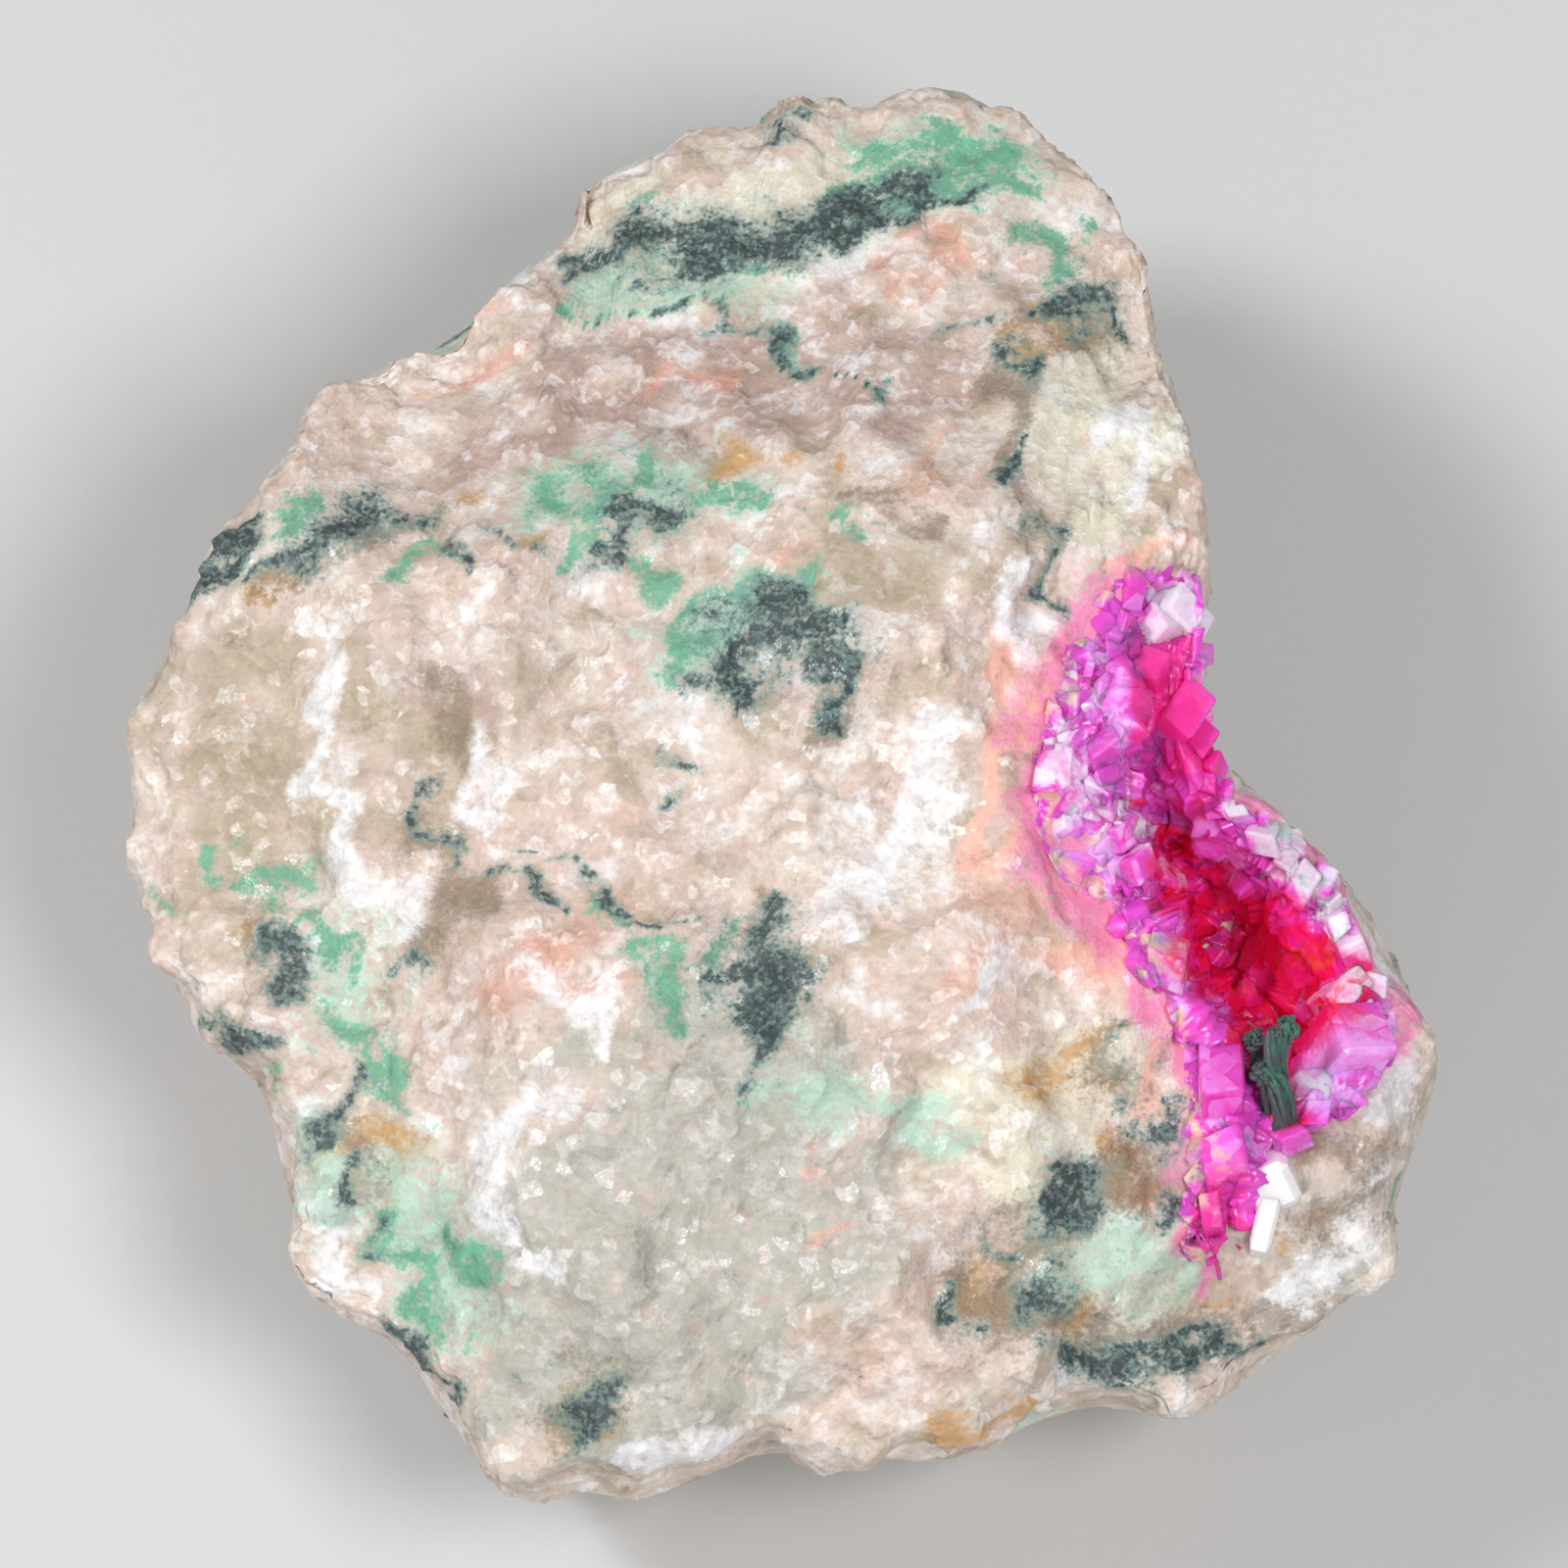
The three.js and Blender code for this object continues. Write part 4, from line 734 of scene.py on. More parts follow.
def lowest_plane(first, facets, across, up):
    """The smallest of the first height and the facets' planes, rounded where two of them cross."""
    heights = [first] + [h + sx * (across - x) + sy * (up - y) for x, y, h, sx, sy in facets]
    heights = np.stack(heights)
    least = heights.min(0)
    return least - FACET_ROUNDING * np.log(np.exp((least - heights) / FACET_ROUNDING).sum(0))


def lumps(across, up, toward):
    """Waves of three lengths along each direction, each of them bent by a wave along the next one."""
    along = (across, up, toward)
    total = 0
    for i, (length, height) in enumerate(LUMPS):
        step = 2 * math.pi / length
        for j, (far, fast) in enumerate(LUMP_BENDS):
            bend = far * np.sin(along[(j + 1) % 3] * step * fast + (j + 1) * i)
            total = total + height / 2 * np.sin(along[j] * step + bend)
    return total


def chipped(across, up):
    """The dished floors of the chips, where the lowest one counts."""
    floors = [
        floor + sx * (across - x) + sy * (up - y) + CHIP_DISH * ((across - x) ** 2 + (up - y) ** 2)
        for x, y, floor, sx, sy in CHIPS
    ]
    return np.min(floors, 0)


def face_height(across, up, dome=None):
    """The stone's front surface: rounded planes, bells and lumps, cut by the chips, over the outline."""
    if dome is None:
        x, y = across - STONE_MIDDLE[0], up - STONE_MIDDLE[1]
        share = np.minimum(np.hypot(x, y) / outline_reach(np.arctan2(y, x)), 1)
        dome = (1 - share**FACE_SQUARENESS) ** (1 / FACE_SQUARENESS)
    top = lowest_plane(FACE_DOME * dome, FACE_FACETS, across, up)
    calm = RIM_CALM + (1 - RIM_CALM) * dome
    whole = top + dome * bells(RELIEF, across, up) + calm * lumps(across, up, 0 * across)
    broken = np.minimum(whole, chipped(across, up))
    return rim_height(across, up) + np.maximum(broken, RIM_THICKNESS * FACE_DOME * dome)


def back_height(across, up, dome):
    """The stone's back surface: rounded planes and lumps, under the outline."""
    depth = lowest_plane(BACK_DOME * dome, BACK_FACETS, across, up)
    calm = RIM_CALM + (1 - RIM_CALM) * dome
    return rim_height(across, up) - depth + calm * lumps(across, up, BACK_DOME + 0 * across)


def stone_surface(turn, slope, front):
    """The stone in a direction from its middle: turn is round the outline, and slope runs from a right
    angle at the middle of the face or the back down to 0 at the outline."""
    flat, rise = np.cos(slope), np.sin(slope)
    squareness = FACE_SQUARENESS if front else BACK_SQUARENESS
    size = (flat**squareness + rise**squareness) ** (1 / squareness)
    dome = rise / size + 0 * turn
    reach = outline_reach(turn) * flat / size
    across = STONE_MIDDLE[0] + reach * np.cos(turn)
    up = STONE_MIDDLE[1] + reach * np.sin(turn)
    toward = face_height(across, up, dome) if front else back_height(across, up, dome)
    flank = FLANK_LUMPS * 4 * dome * (1 - dome)
    push = flank * lumps(across, up, toward) * flat / np.maximum(flat, 0.1)
    return np.stack([across + push * np.cos(turn), up + push * np.sin(turn), toward], -1)


# The pocket's seat, the same as in its solid

rows = np.array(POCKET_ROWS)
left_edge = curve_through(np.c_[rows[:, 0:2], 0 * rows[:, 0]])
right_edge = curve_through(np.c_[rows[:, 2:4], 0 * rows[:, 0]])
profile = curve_through(rows[:, 4:7])
SEAT_STEPS = np.linspace(0, 1, 301)
LIP_VEIN = left_edge(np.linspace(0, 1, 31))
LIP_VEIN[:, 2] = 0.5  # half width of the halo along the lip
LEFT_UP = left_edge(SEAT_STEPS)[:, 1]
RIGHT_UP = right_edge(SEAT_STEPS)[:, 1]


def seat_sunk(down, over):
    """How deep the rock is hollowed: a steep wall past the lip and a gentler one up to the right edge."""
    left, right, (lip, depth, _) = left_edge(down), right_edge(down), np.moveaxis(profile(down), -1, 0)
    lip_share = (lip - left[..., 0]) / (right[..., 0] - left[..., 0])
    floor_share = lip_share + LIP_STEEPNESS * (1 - lip_share)
    rise = smooth(over, floor_share, 1) ** RIGHT_WALL_BEND
    hollow = smooth(over, lip_share, floor_share) * (1 - rise)
    return LIP_RECESS + np.maximum(depth - LIP_RECESS, 0) * hollow


def seat_points(down, over):
    """Points of the rock's hollowed surface, by shares of the way down the rows and across them."""
    points = lerp(left_edge(down), right_edge(down), over[..., None])
    points[..., 2] = face_height(points[..., 0], points[..., 1]) - seat_sunk(down, over)
    return points


def seat_shares(across, up):
    """The rows' and columns' shares over points of the face. The way down is found by halving it again and
    again, and the way across from that, in a few rounds."""
    over = np.full_like(across, 0.5)
    for _ in range(SEARCH_ROUNDS):
        low, high = np.zeros_like(across), np.ones_like(across)
        for _ in range(HALVINGS):
            middle = (low + high) / 2
            line = lerp(np.interp(middle, SEAT_STEPS, LEFT_UP), np.interp(middle, SEAT_STEPS, RIGHT_UP), over)
            above = line > up
            low, high = np.where(above, middle, low), np.where(above, high, middle)
        down = (low + high) / 2
        left, right = left_edge(down)[..., 0], right_edge(down)[..., 0]
        over = np.clip((across - left) / (right - left), -0.5, 1.5)
    return down, (across - left) / (right - left)


# Marks


def vein_field(points, chains):
    """How far inside a vein each point lies: 1 on its middle line, 0 at its edge and below 0 outside, as 1
    minus distance over half width. Each chain's last column is its half width, and the largest counts."""
    field = np.full(len(points), -FAR_OUTSIDE)
    for chain in chains:
        chain = np.array(chain, float)
        starts, ends = (chain[:-1], chain[1:]) if len(chain) > 1 else (chain, chain)
        for start, end in zip(starts, ends):
            step = end[:-1] - start[:-1]
            along = np.clip((points - start[:-1]) @ step / max(step @ step, 1e-9), 0, 1)
            distance = np.linalg.norm(points - start[:-1] - along[:, None] * step, axis=-1)
            field = np.maximum(field, 1 - distance / lerp(start[-1], end[-1], along))
    return field


def wandering(points, sizes):
    """Points moved aside by waves in random directions, several for each wave length, so that what is
    drawn with straight strokes ends up uneven."""
    random = np.random.default_rng(3)
    moved = points.copy()
    axes = points.shape[-1]
    for length, reach in sizes:
        for _ in range(WAVES_OF_A_LENGTH):
            waves = 2 * math.pi / (length * random.uniform(0.7, 1.4)) * unit(random.normal(size=(axes, axes)))
            phase = random.uniform(0, 2 * math.pi, axes)
            moved += reach * math.sqrt(2 / WAVES_OF_A_LENGTH) * np.sin(points @ waves.T + phase)
    return moved


def laid_out(points):
    """Across and up of the stone's points with its walls laid flat round the face: near the outline each
    point moves outward by its drop below the face just inside. Gives the drops as well."""
    off = points[:, :2] - STONE_MIDDLE
    turn = np.arctan2(off[:, 1], off[:, 0])
    reach = outline_reach(turn)
    outward = np.stack([np.cos(turn), np.sin(turn)], -1)
    inner = STONE_MIDDLE + WALL_START * reach[:, None] * outward
    drop = face_height(*inner.T) - WALL_EDGE - points[:, 2]
    out = np.linalg.norm(off, axis=-1) / reach
    drop = np.maximum(drop, 0) * smooth(out, WALL_START - WALL_BLEND[0], WALL_START + WALL_BLEND[1])
    drop = np.maximum(drop, rim_height(*points[:, :2].T) - points[:, 2])
    return points[:, :2] + outward * drop[:, None], drop


def hidden_chains(random, count, widths):
    """Veins for the sides and the back, which no photo shows: short walks from random points there."""
    chains = []
    for _ in range(count):
        turn = random.uniform(-math.pi, math.pi)
        front = random.uniform() < HIDDEN_IN_FRONT
        slope = random.uniform(0.1, 0.4 if front else 0.8)
        drift = random.uniform(-0.12, 0.12, 2)
        steps = np.arange(random.integers(1, 5))
        turns = turn + drift[0] * steps
        slopes = np.clip(slope + drift[1] * steps, 0.02, 0.5 if front else 1.2)
        middle = stone_surface(turns, slopes, front)
        chains.append(np.c_[middle, random.uniform(*widths, len(steps))])
    return chains


# Meshes


def make_piece(name, points, faces, finish, node, slot, flat=False, **attributes):
    """A mesh object in the frame from points of the face and arrays of faces, kept inside the box of the
    node that it stands for. Each attribute gives one number for each point."""
    mesh = bpy.data.meshes.new(name)
    low, high = (np.array(corner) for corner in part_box(node))
    corners = [face for part in faces for face in part.tolist()]
    mesh.from_pydata(np.clip(in_frame(points), low, high), [], corners)
    mesh.polygons.foreach_set("use_smooth", np.full(len(mesh.polygons), not flat))
    for attribute, values in attributes.items():
        layer = mesh.attributes.new(attribute, "FLOAT", "POINT")
        layer.data.foreach_set("value", np.asarray(values, np.float32))
    mesh.materials.append(finish)
    mesh.update()
    piece = bpy.data.objects.new(name, mesh)
    bpy.context.scene.collection.objects.link(piece)
    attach(piece, "root")
    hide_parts(node)
    return piece


def slab(top, bottom):
    """A closed slab between two grids of points, with walls round their shared edge."""
    rows, columns = top.shape[:2]
    faces = grid_faces(rows, columns)
    numbers = np.arange(rows * columns).reshape(rows, columns)
    rim = np.concatenate([numbers[:, 0], numbers[-1, 1:], numbers[-2::-1, -1], numbers[0, -2:0:-1]])
    beyond = np.roll(rim, -1)
    below = rows * columns
    walls = np.stack([rim, rim + below, beyond + below, beyond], -1)
    return np.concatenate([top.reshape(-1, 3), bottom.reshape(-1, 3)]), [faces, faces[:, ::-1] + below, walls]


def blunted_box(blunt):
    """A box from -1 to 1 whose edges and corners are cut off flat: 24 points and 26 faces."""
    signs = np.stack(np.meshgrid(*[[-1, 1]] * 3, indexing="ij"), -1).reshape(-1, 3)
    inset = 1 - blunt
    points = np.concatenate([signs * np.where(np.arange(3) == axis, 1, inset) for axis in range(3)])

    def number(axis, sign):
        return len(signs) * axis + int(np.flatnonzero((signs == sign).all(1))[0])

    faces = [[number(axis, sign) for axis in range(3)] for sign in signs]
    for axis in range(3):
        first, second = (axis + 1) % 3, (axis + 2) % 3
        for a, b in ((-1, -1), (-1, 1), (1, 1), (1, -1)):
            low, high = np.zeros(3, int), np.zeros(3, int)
            low[[axis, first, second]] = (-1, a, b)
            high[[axis, first, second]] = (1, a, b)
            corners = ((first, low), (first, high), (second, high), (second, low))
            faces.append([number(*corner) for corner in corners])
        for side in (-1, 1):
            around = np.zeros((4, 3), int)
            around[:, axis] = side
            around[:, first] = (-1, 1, 1, -1)
            around[:, second] = (-1, -1, 1, 1)
            faces.append([number(axis, sign) for sign in around])
    outward = []
    for face in faces:
        corners = points[face]
        square = np.cross(corners[1] - corners[0], corners[2] - corners[1])
        outward.append(face if square @ corners.mean(0) > 0 else face[::-1])
    return points, outward


def repeated(shape, frames, centres):
    """Copies of a small shape, one for each 3 by 3 frame of axes and each centre."""
    points, faces = shape
    copies = np.einsum("pj,njk->npk", points, frames) + centres[:, None]
    shift = np.arange(len(centres))[:, None, None] * len(points)
    counts = sorted({len(face) for face in faces})
    grouped = [np.array([face for face in faces if len(face) == count]) for count in counts]
    return copies.reshape(-1, 3), [(group + shift).reshape(-1, group.shape[1]) for group in grouped]


def rhomb_frames(outward, edges, leans, turns):
    """Axes of rhombs: three edge directions spread evenly round an axis, which leans off the outward
    direction. Each row of a frame is one half edge, and each of the three has its own length."""
    side = unit(np.cross(outward, [0.31, 0.9, 0.3]))
    other = np.cross(outward, side)
    axis = unit(outward + leans[:, :1] * side + leans[:, 1:] * other)
    side = unit(np.cross(axis, other))
    other = np.cross(axis, side)
    frames = []
    for third in range(3):
        angle = turns + third * 2 * math.pi / 3
        spread = np.cos(angle)[:, None] * side + np.sin(angle)[:, None] * other
        frames.append(RHOMB_SPREAD * spread + RHOMB_RISE * axis)
    return np.stack(frames, 1) * edges[:, :, None] / 2


def tubes(paths, radii, sides):
    """Tubes along paths: a circle of its own radius round each point of each path, square to it, with the
    ends drawn together to a point."""
    count, steps = paths.shape[:2]
    along = unit(np.gradient(paths, axis=1))
    side = unit(np.cross(along, [0.2, 0.3, 1.0]))
    other = np.cross(along, side)
    angles = 2 * math.pi * np.arange(sides) / sides
    circle = np.cos(angles)[:, None] * side[:, :, None] + np.sin(angles)[:, None] * other[:, :, None]
    points = paths[:, :, None] + radii[:, :, None, None] * circle
    ends = np.stack([paths[:, 0], paths[:, -1]], 1)
    ring_faces = grid_faces(steps, sides, wrapped=True)
    wrapped = np.arange(sides)
    first = np.stack([np.full(sides, steps * sides), wrapped, (wrapped + 1) % sides], -1)
    last = (steps - 1) * sides
    final = np.stack([np.full(sides, steps * sides + 1), last + (wrapped + 1) % sides, last + wrapped], -1)
    stride = steps * sides + 2
    every = np.arange(count)[:, None, None] * stride
    body = np.concatenate([points.reshape(count, -1, 3), ends], 1).reshape(-1, 3)
    return body, [(ring_faces + every).reshape(-1, 4), (np.vstack([first, final]) + every).reshape(-1, 3)]


# Forms of the pieces


def disc_grid(steps):
    """A square grid drawn into a disc: each coordinate shrinks by the square root of 1 minus half the
    other's square. Gives the turns round the disc, and the shares of the way out."""
    side = np.linspace(-1, 1, steps)
    u, v = np.meshgrid(side, side, indexing="ij")
    x, y = u * np.sqrt(1 - v * v / 2), v * np.sqrt(1 - u * u / 2)
    return np.arctan2(y, x), np.minimum(np.hypot(x, y), 1)


def dome_slopes(out, squareness, height):
    """Slopes whose points lie evenly along a dome's profile, from its middle out to its outline."""
    slopes = np.linspace(math.pi / 2, 0, PROFILE_STEPS)
    flat, rise = np.cos(slopes), np.sin(slopes)
    size = (flat**squareness + rise**squareness) ** (1 / squareness)
    lengths = np.hypot(*np.diff([HALF_WIDTH * flat / size, height * rise / size]))
    return np.interp(out, np.cumsum([0, *lengths]) / lengths.sum(), slopes)


def under_the_seat(points):
    """Points of the stone lowered onto the hollowed seat where the pocket lies. From just inside a free
    edge the seat goes on level, so the wall below it is cut off at the same height."""
    across, up = points[..., 0], points[..., 1]
    near = (across > POCKET_REACH[0]) & (up > POCKET_REACH[1]) & (up < POCKET_REACH[2])
    down, over = seat_shares(across[near], up[near])
    inside = (down > 0.001) & (down < 0.999) & (over > 0)
    free = profile(down)[:, 2] > FREE_OVERHANG
    inside &= (over < 1) | free
    held = np.where(free, np.minimum(over, 1 - RIM_TRIM), over)
    sunk = seat_sunk(down, np.clip(held, 0, 1))
    place = lerp(left_edge(down), right_edge(down), held[:, None])
    level = face_height(place[:, 0], place[:, 1]) - np.maximum(sunk - LIP_RECESS, 0) - BARE_RECESS
    toward = points[near][:, 2]
    lowered = points.copy()
    lowered[near, 2] = np.where(inside, np.minimum(toward, level), toward)
    return lowered


def rock_side(steps, front):
    """The face or the back as a grid, moved in and out by small broken faces of three sizes."""
    turn, out = disc_grid(steps)
    dome = (FACE_SQUARENESS, FACE_DOME) if front else (BACK_SQUARENESS, BACK_DOME)
    points = under_the_seat(stone_surface(turn, dome_slopes(out, *dome), front))
    relief = sum(broken_faces(points.reshape(-1, 3), size, tilt) for size, tilt in BROKEN_SIZES)
    relief = relief.reshape(turn.shape) * lerp(1, OUTLINE_RELIEF, smooth(out, 0.8, 0.99))
    outward = grid_normals(points) * (1 if front else -1)
    return points + outward * relief[..., None]


def rock_form(steps):
    """The stone as two grids that share their border vertices."""
    front, back = rock_side(steps, True), rock_side(steps, False)
    numbers = np.arange(steps**2).reshape(steps, steps)
    inner = np.zeros(numbers.shape, bool)
    inner[1:-1, 1:-1] = True
    back_numbers = numbers.copy()
    back_numbers[inner] = steps**2 + np.arange(inner.sum())
    faces = grid_faces(steps, steps)
    back_faces = back_numbers.ravel()[faces][:, ::-1]
    return np.vstack([front.reshape(-1, 3), back[inner]]), [faces, back_faces]


def seat_normals(down, over):
    """Outward directions of the seat, over steps of a twentieth of it."""
    above, below = np.maximum(down - NORMAL_STEP, 0), np.minimum(down + NORMAL_STEP, 1)
    left, right = np.maximum(over - NORMAL_STEP, 0), np.minimum(over + NORMAL_STEP, 1)
    rowward = seat_points(above, over) - seat_points(below, over)
    columnward = seat_points(down, right) - seat_points(down, left)
    return unit(np.cross(columnward, rowward))


def edge_ramp(down, over, steepness):
    """0 at the pocket's edges and 1 well inside it."""
    edge = np.minimum(np.minimum(down, 1 - down), np.minimum(over, 1 - over))
    return smooth(steepness * edge, 0, 1)


def over_seat(down, over, thickness):
    """Points over the seat, raised toward the front so that the thickness square to a wall stays the
    same. What would stand far out of the face is cut down, and the edges dive just under it."""
    points = seat_points(down, over)
    full = SEAT_GAP + thickness + bells(THICKER_PLACES, points[..., 0], points[..., 1])
    lift = lerp(LIP_RECESS - EDGE_DIVE, full, edge_ramp(down, over, CRUST_EDGE_STEEPNESS))
    raised = points[..., 2] + lift / np.maximum(seat_normals(down, over)[..., 2], CRUST_STEEPEST)
    proud = raised - face_height(points[..., 0], points[..., 1]) - PROUD_FREELY
    points[..., 2] = raised - PROUD_CUT * np.maximum(proud, 0)
    return points


def crust_grid(rows, columns):
    """Shares down and over for a grid that is denser by the right rim, and ends a little inside it."""
    sparse = np.linspace(0, DENSE_FROM, 2 * columns // 3, endpoint=False)
    dense = np.linspace(DENSE_FROM, 1, columns // 3)
    down, over = np.meshgrid(np.linspace(0, 1, rows), np.concatenate([sparse, dense]), indexing="ij")
    return down, over * (1 - RIM_TRIM * (1 - smooth(down, *TRIM_ENDS)))


def roughness_left(down, over, points):
    """How rough the crust is: 1 in most places, less over the smooth ones and at its free edge."""
    free = smooth(profile(down)[..., 2], 0.2, 0.7) * smooth(over, 0.66, 0.84)
    smoothed = np.minimum(bells(SMOOTH_PLACES, points[..., 0], points[..., 1]), 1)
    return (1 - 0.8 * free) * (1 - 0.8 * smoothed)


def crust_form():
    """The crust as a slab over the seat, its upper side broken into small crystal faces."""
    down, over = crust_grid(*CRUST_GRID)
    top = over_seat(down, over, CRUST_THICKNESS)
    relief = sum(broken_faces(top.reshape(-1, 3), size, tilt) for size, tilt in CRYSTAL_FACES)
    rough = lerp(SMOOTH_RELIEF, 1, roughness_left(down, over, top))
    relief = relief.reshape(down.shape) * (edge_ramp(down, over, RELIEF_EDGE_STEEPNESS) * rough)
    top = top + grid_normals(top) * relief[..., None]
    bottom = seat_points(down, over)
    bottom[..., 2] -= CRUST_UNDERSIDE
    return slab(top, bottom)


def crystal_form(random, count):
    """Rhombs grown on the crust: the large ones listed and the others strewn evenly over its surface."""
    down, over = crust_grid(*STREWING_GRID)
    top = over_seat(down, over, CRUST_THICKNESS)
    areas = np.linalg.norm(np.cross(np.gradient(top, axis=0), np.gradient(top, axis=1)), axis=-1)
    chosen = random.choice(areas.size, count, p=(areas / areas.sum()).ravel())
    down, over = (np.clip(share.ravel()[chosen], 0.012, 0.988) for share in (down, over))
    share, times = LARGER_CRYSTALS
    edges = random.uniform(*SMALL_CRYSTALS, count) * np.where(random.uniform(size=count) < share, times, 1)
    edges *= lerp(EDGE_CRYSTALS, 1, edge_ramp(down, over, CRYSTAL_EDGE_STEEPNESS))
    leans = random.normal(0, CRYSTAL_LEAN, (count, 2))
    turns = random.uniform(0, 2 * math.pi, count)
    rough = roughness_left(down, over, over_seat(down, over, 0))
    lifts = -edges * random.uniform(*CRYSTAL_SINK, count) - SMOOTH_SINK * (1 - rough)
    share, least, most = PALE_CRYSTALS
    pale = np.where(random.uniform(size=count) < share, random.uniform(least, most, count), 0)
    across, up, edge, lift, lean_x, lean_y, turn, paleness = np.array(LARGE_CRYSTALS).T
    large_down, large_over = seat_shares(across, up)
    large_over = np.clip(large_over, 0.02, 0.98)
    down, over = np.append(down, large_down), np.append(over, large_over)
    outward = seat_normals(down, over)
    large_leans = np.tan(np.radians(np.stack([lean_y, lean_x], -1)))
    lengths = np.append(edges, edge)[:, None] * random.uniform(*UNEVEN_EDGES, (len(down), 3))
    leans, turns = np.vstack([leans, large_leans]), np.append(turns, np.radians(turn))
    centres = over_seat(down, over, CRUST_THICKNESS) + outward * np.append(lifts, lift)[:, None]
    rhomb = blunted_box(RHOMB_BLUNT)
    points, faces = repeated(rhomb, rhomb_frames(outward, lengths, leans, turns), centres)
    shade = np.repeat(random.uniform(size=len(centres)), len(rhomb[0]))
    return points, faces, shade, np.repeat(np.append(pale, paleness), len(rhomb[0]))


def tuft_form(random, count):
    """Fibres in bundles, each along one strand of the solid and twisted round it, with a head of short
    fibres that spread from its tip."""
    shares = np.linspace(0, 1, TUFT_STEPS)
    paths, radii = [], []
    for root, tip, rise, curl, thickness in TUFT_STRANDS:
        down, over = seat_shares(np.array([root[0]]), np.array([root[1]]))
        foot = over_seat(down, over, CRUST_THICKNESS + TUFT_ROOT_DEPTH)[0]
        head = np.array([*tip, foot[2] + rise])
        knee = lerp(foot, head, TUFT_KNEE[0]) + [-curl[0] / 2, 0, TUFT_KNEE[1] * rise]
        middle = curve_through([foot, knee, head, head + [*curl, 0]])(shares)
        for _ in range(count):
            angle = random.uniform(0, 2 * math.pi) + shares * random.uniform(*TUFT_TURNS)
            off = thickness * random.uniform(*TUFT_REACH) * (1 - 0.5 * shares**2)
            off = off * (1 + 0.15 * np.sin(shares * random.uniform(9, 16) + random.uniform(0, 6)))
            round_it = np.stack([np.cos(angle), 0.3 * np.sin(angle), np.sin(angle)], -1)
            paths.append(middle + round_it * off[:, None])
            radii.append(thickness * random.uniform(*TUFT_WIDTHS) * (1 - 0.6 * shares**3))
        for spread in unit(random.normal(0, 1, (2 * count, 3)) + [0, 0, 0.6]):
            bend = random.normal(0, 0.12, 3) * np.sin(math.pi * shares)[:, None]
            paths.append(middle[-1] + spread * (TUFT_HEAD * shares)[:, None] + bend)
            radii.append(TUFT_HEAD_WIDTH * (1 - 0.5 * shares**2))
    return tubes(np.array(paths), np.array(radii), TUFT_SIDES)


def block_form():
    """White crystals: blunted boxes let into the rock."""
    frames, centres = [], []
    for across, up, half_across, half_up, half_out, turn in WHITE_BLOCKS:
        cos, sin = math.cos(math.radians(turn)), math.sin(math.radians(turn))
        tilted = np.array([[1, 0, 0], [0, cos, sin], [0, -sin, cos]])
        turned = np.array([[cos, sin, 0], [-sin, cos, 0], [0, 0, 1]])
        frames.append(np.diag([half_across, half_up, half_out]) @ turned @ tilted)
        toward = face_height(np.array([across]), np.array([up]))[0]
        centres.append([across, up, toward + WHITE_PROUD])
    return repeated(blunted_box(BLOCK_BLUNT), np.array(frames), np.array(centres))


# Materials


class Signal:
    """A number carried by a socket, which can be reckoned with: each sum adds its own Math node."""

    def __init__(self, finish, socket):
        self.finish = finish
        self.socket = socket

    def reckoned(self, operation, first, second):
        made = self.finish.node("ShaderNodeMath", {"operation": operation}, {0: first, 1: second})
        return Signal(self.finish, made.outputs[0])

    def __add__(self, other):
        return self.reckoned("ADD", self, other)

    def __sub__(self, other):
        return self.reckoned("SUBTRACT", self, other)

    def __rsub__(self, other):
        return self.reckoned("SUBTRACT", other, self)

    def __mul__(self, other):
        return self.reckoned("MULTIPLY", self, other)

    def over(self, other):
        """The larger of the two."""
        return self.reckoned("MAXIMUM", self, other)

    def between(self, low, high):
        """0 below low, 1 above high, and smooth between them. Low may be the larger one."""
        if low > high:
            return 1 - self.between(high, low)
        values = {"Value": self, "From Min": low, "From Max": high}
        made = self.finish.node("ShaderNodeMapRange", {"interpolation_type": "SMOOTHSTEP"}, values)
        return Signal(self.finish, made.outputs[0])

    __radd__ = __add__
    __rmul__ = __mul__


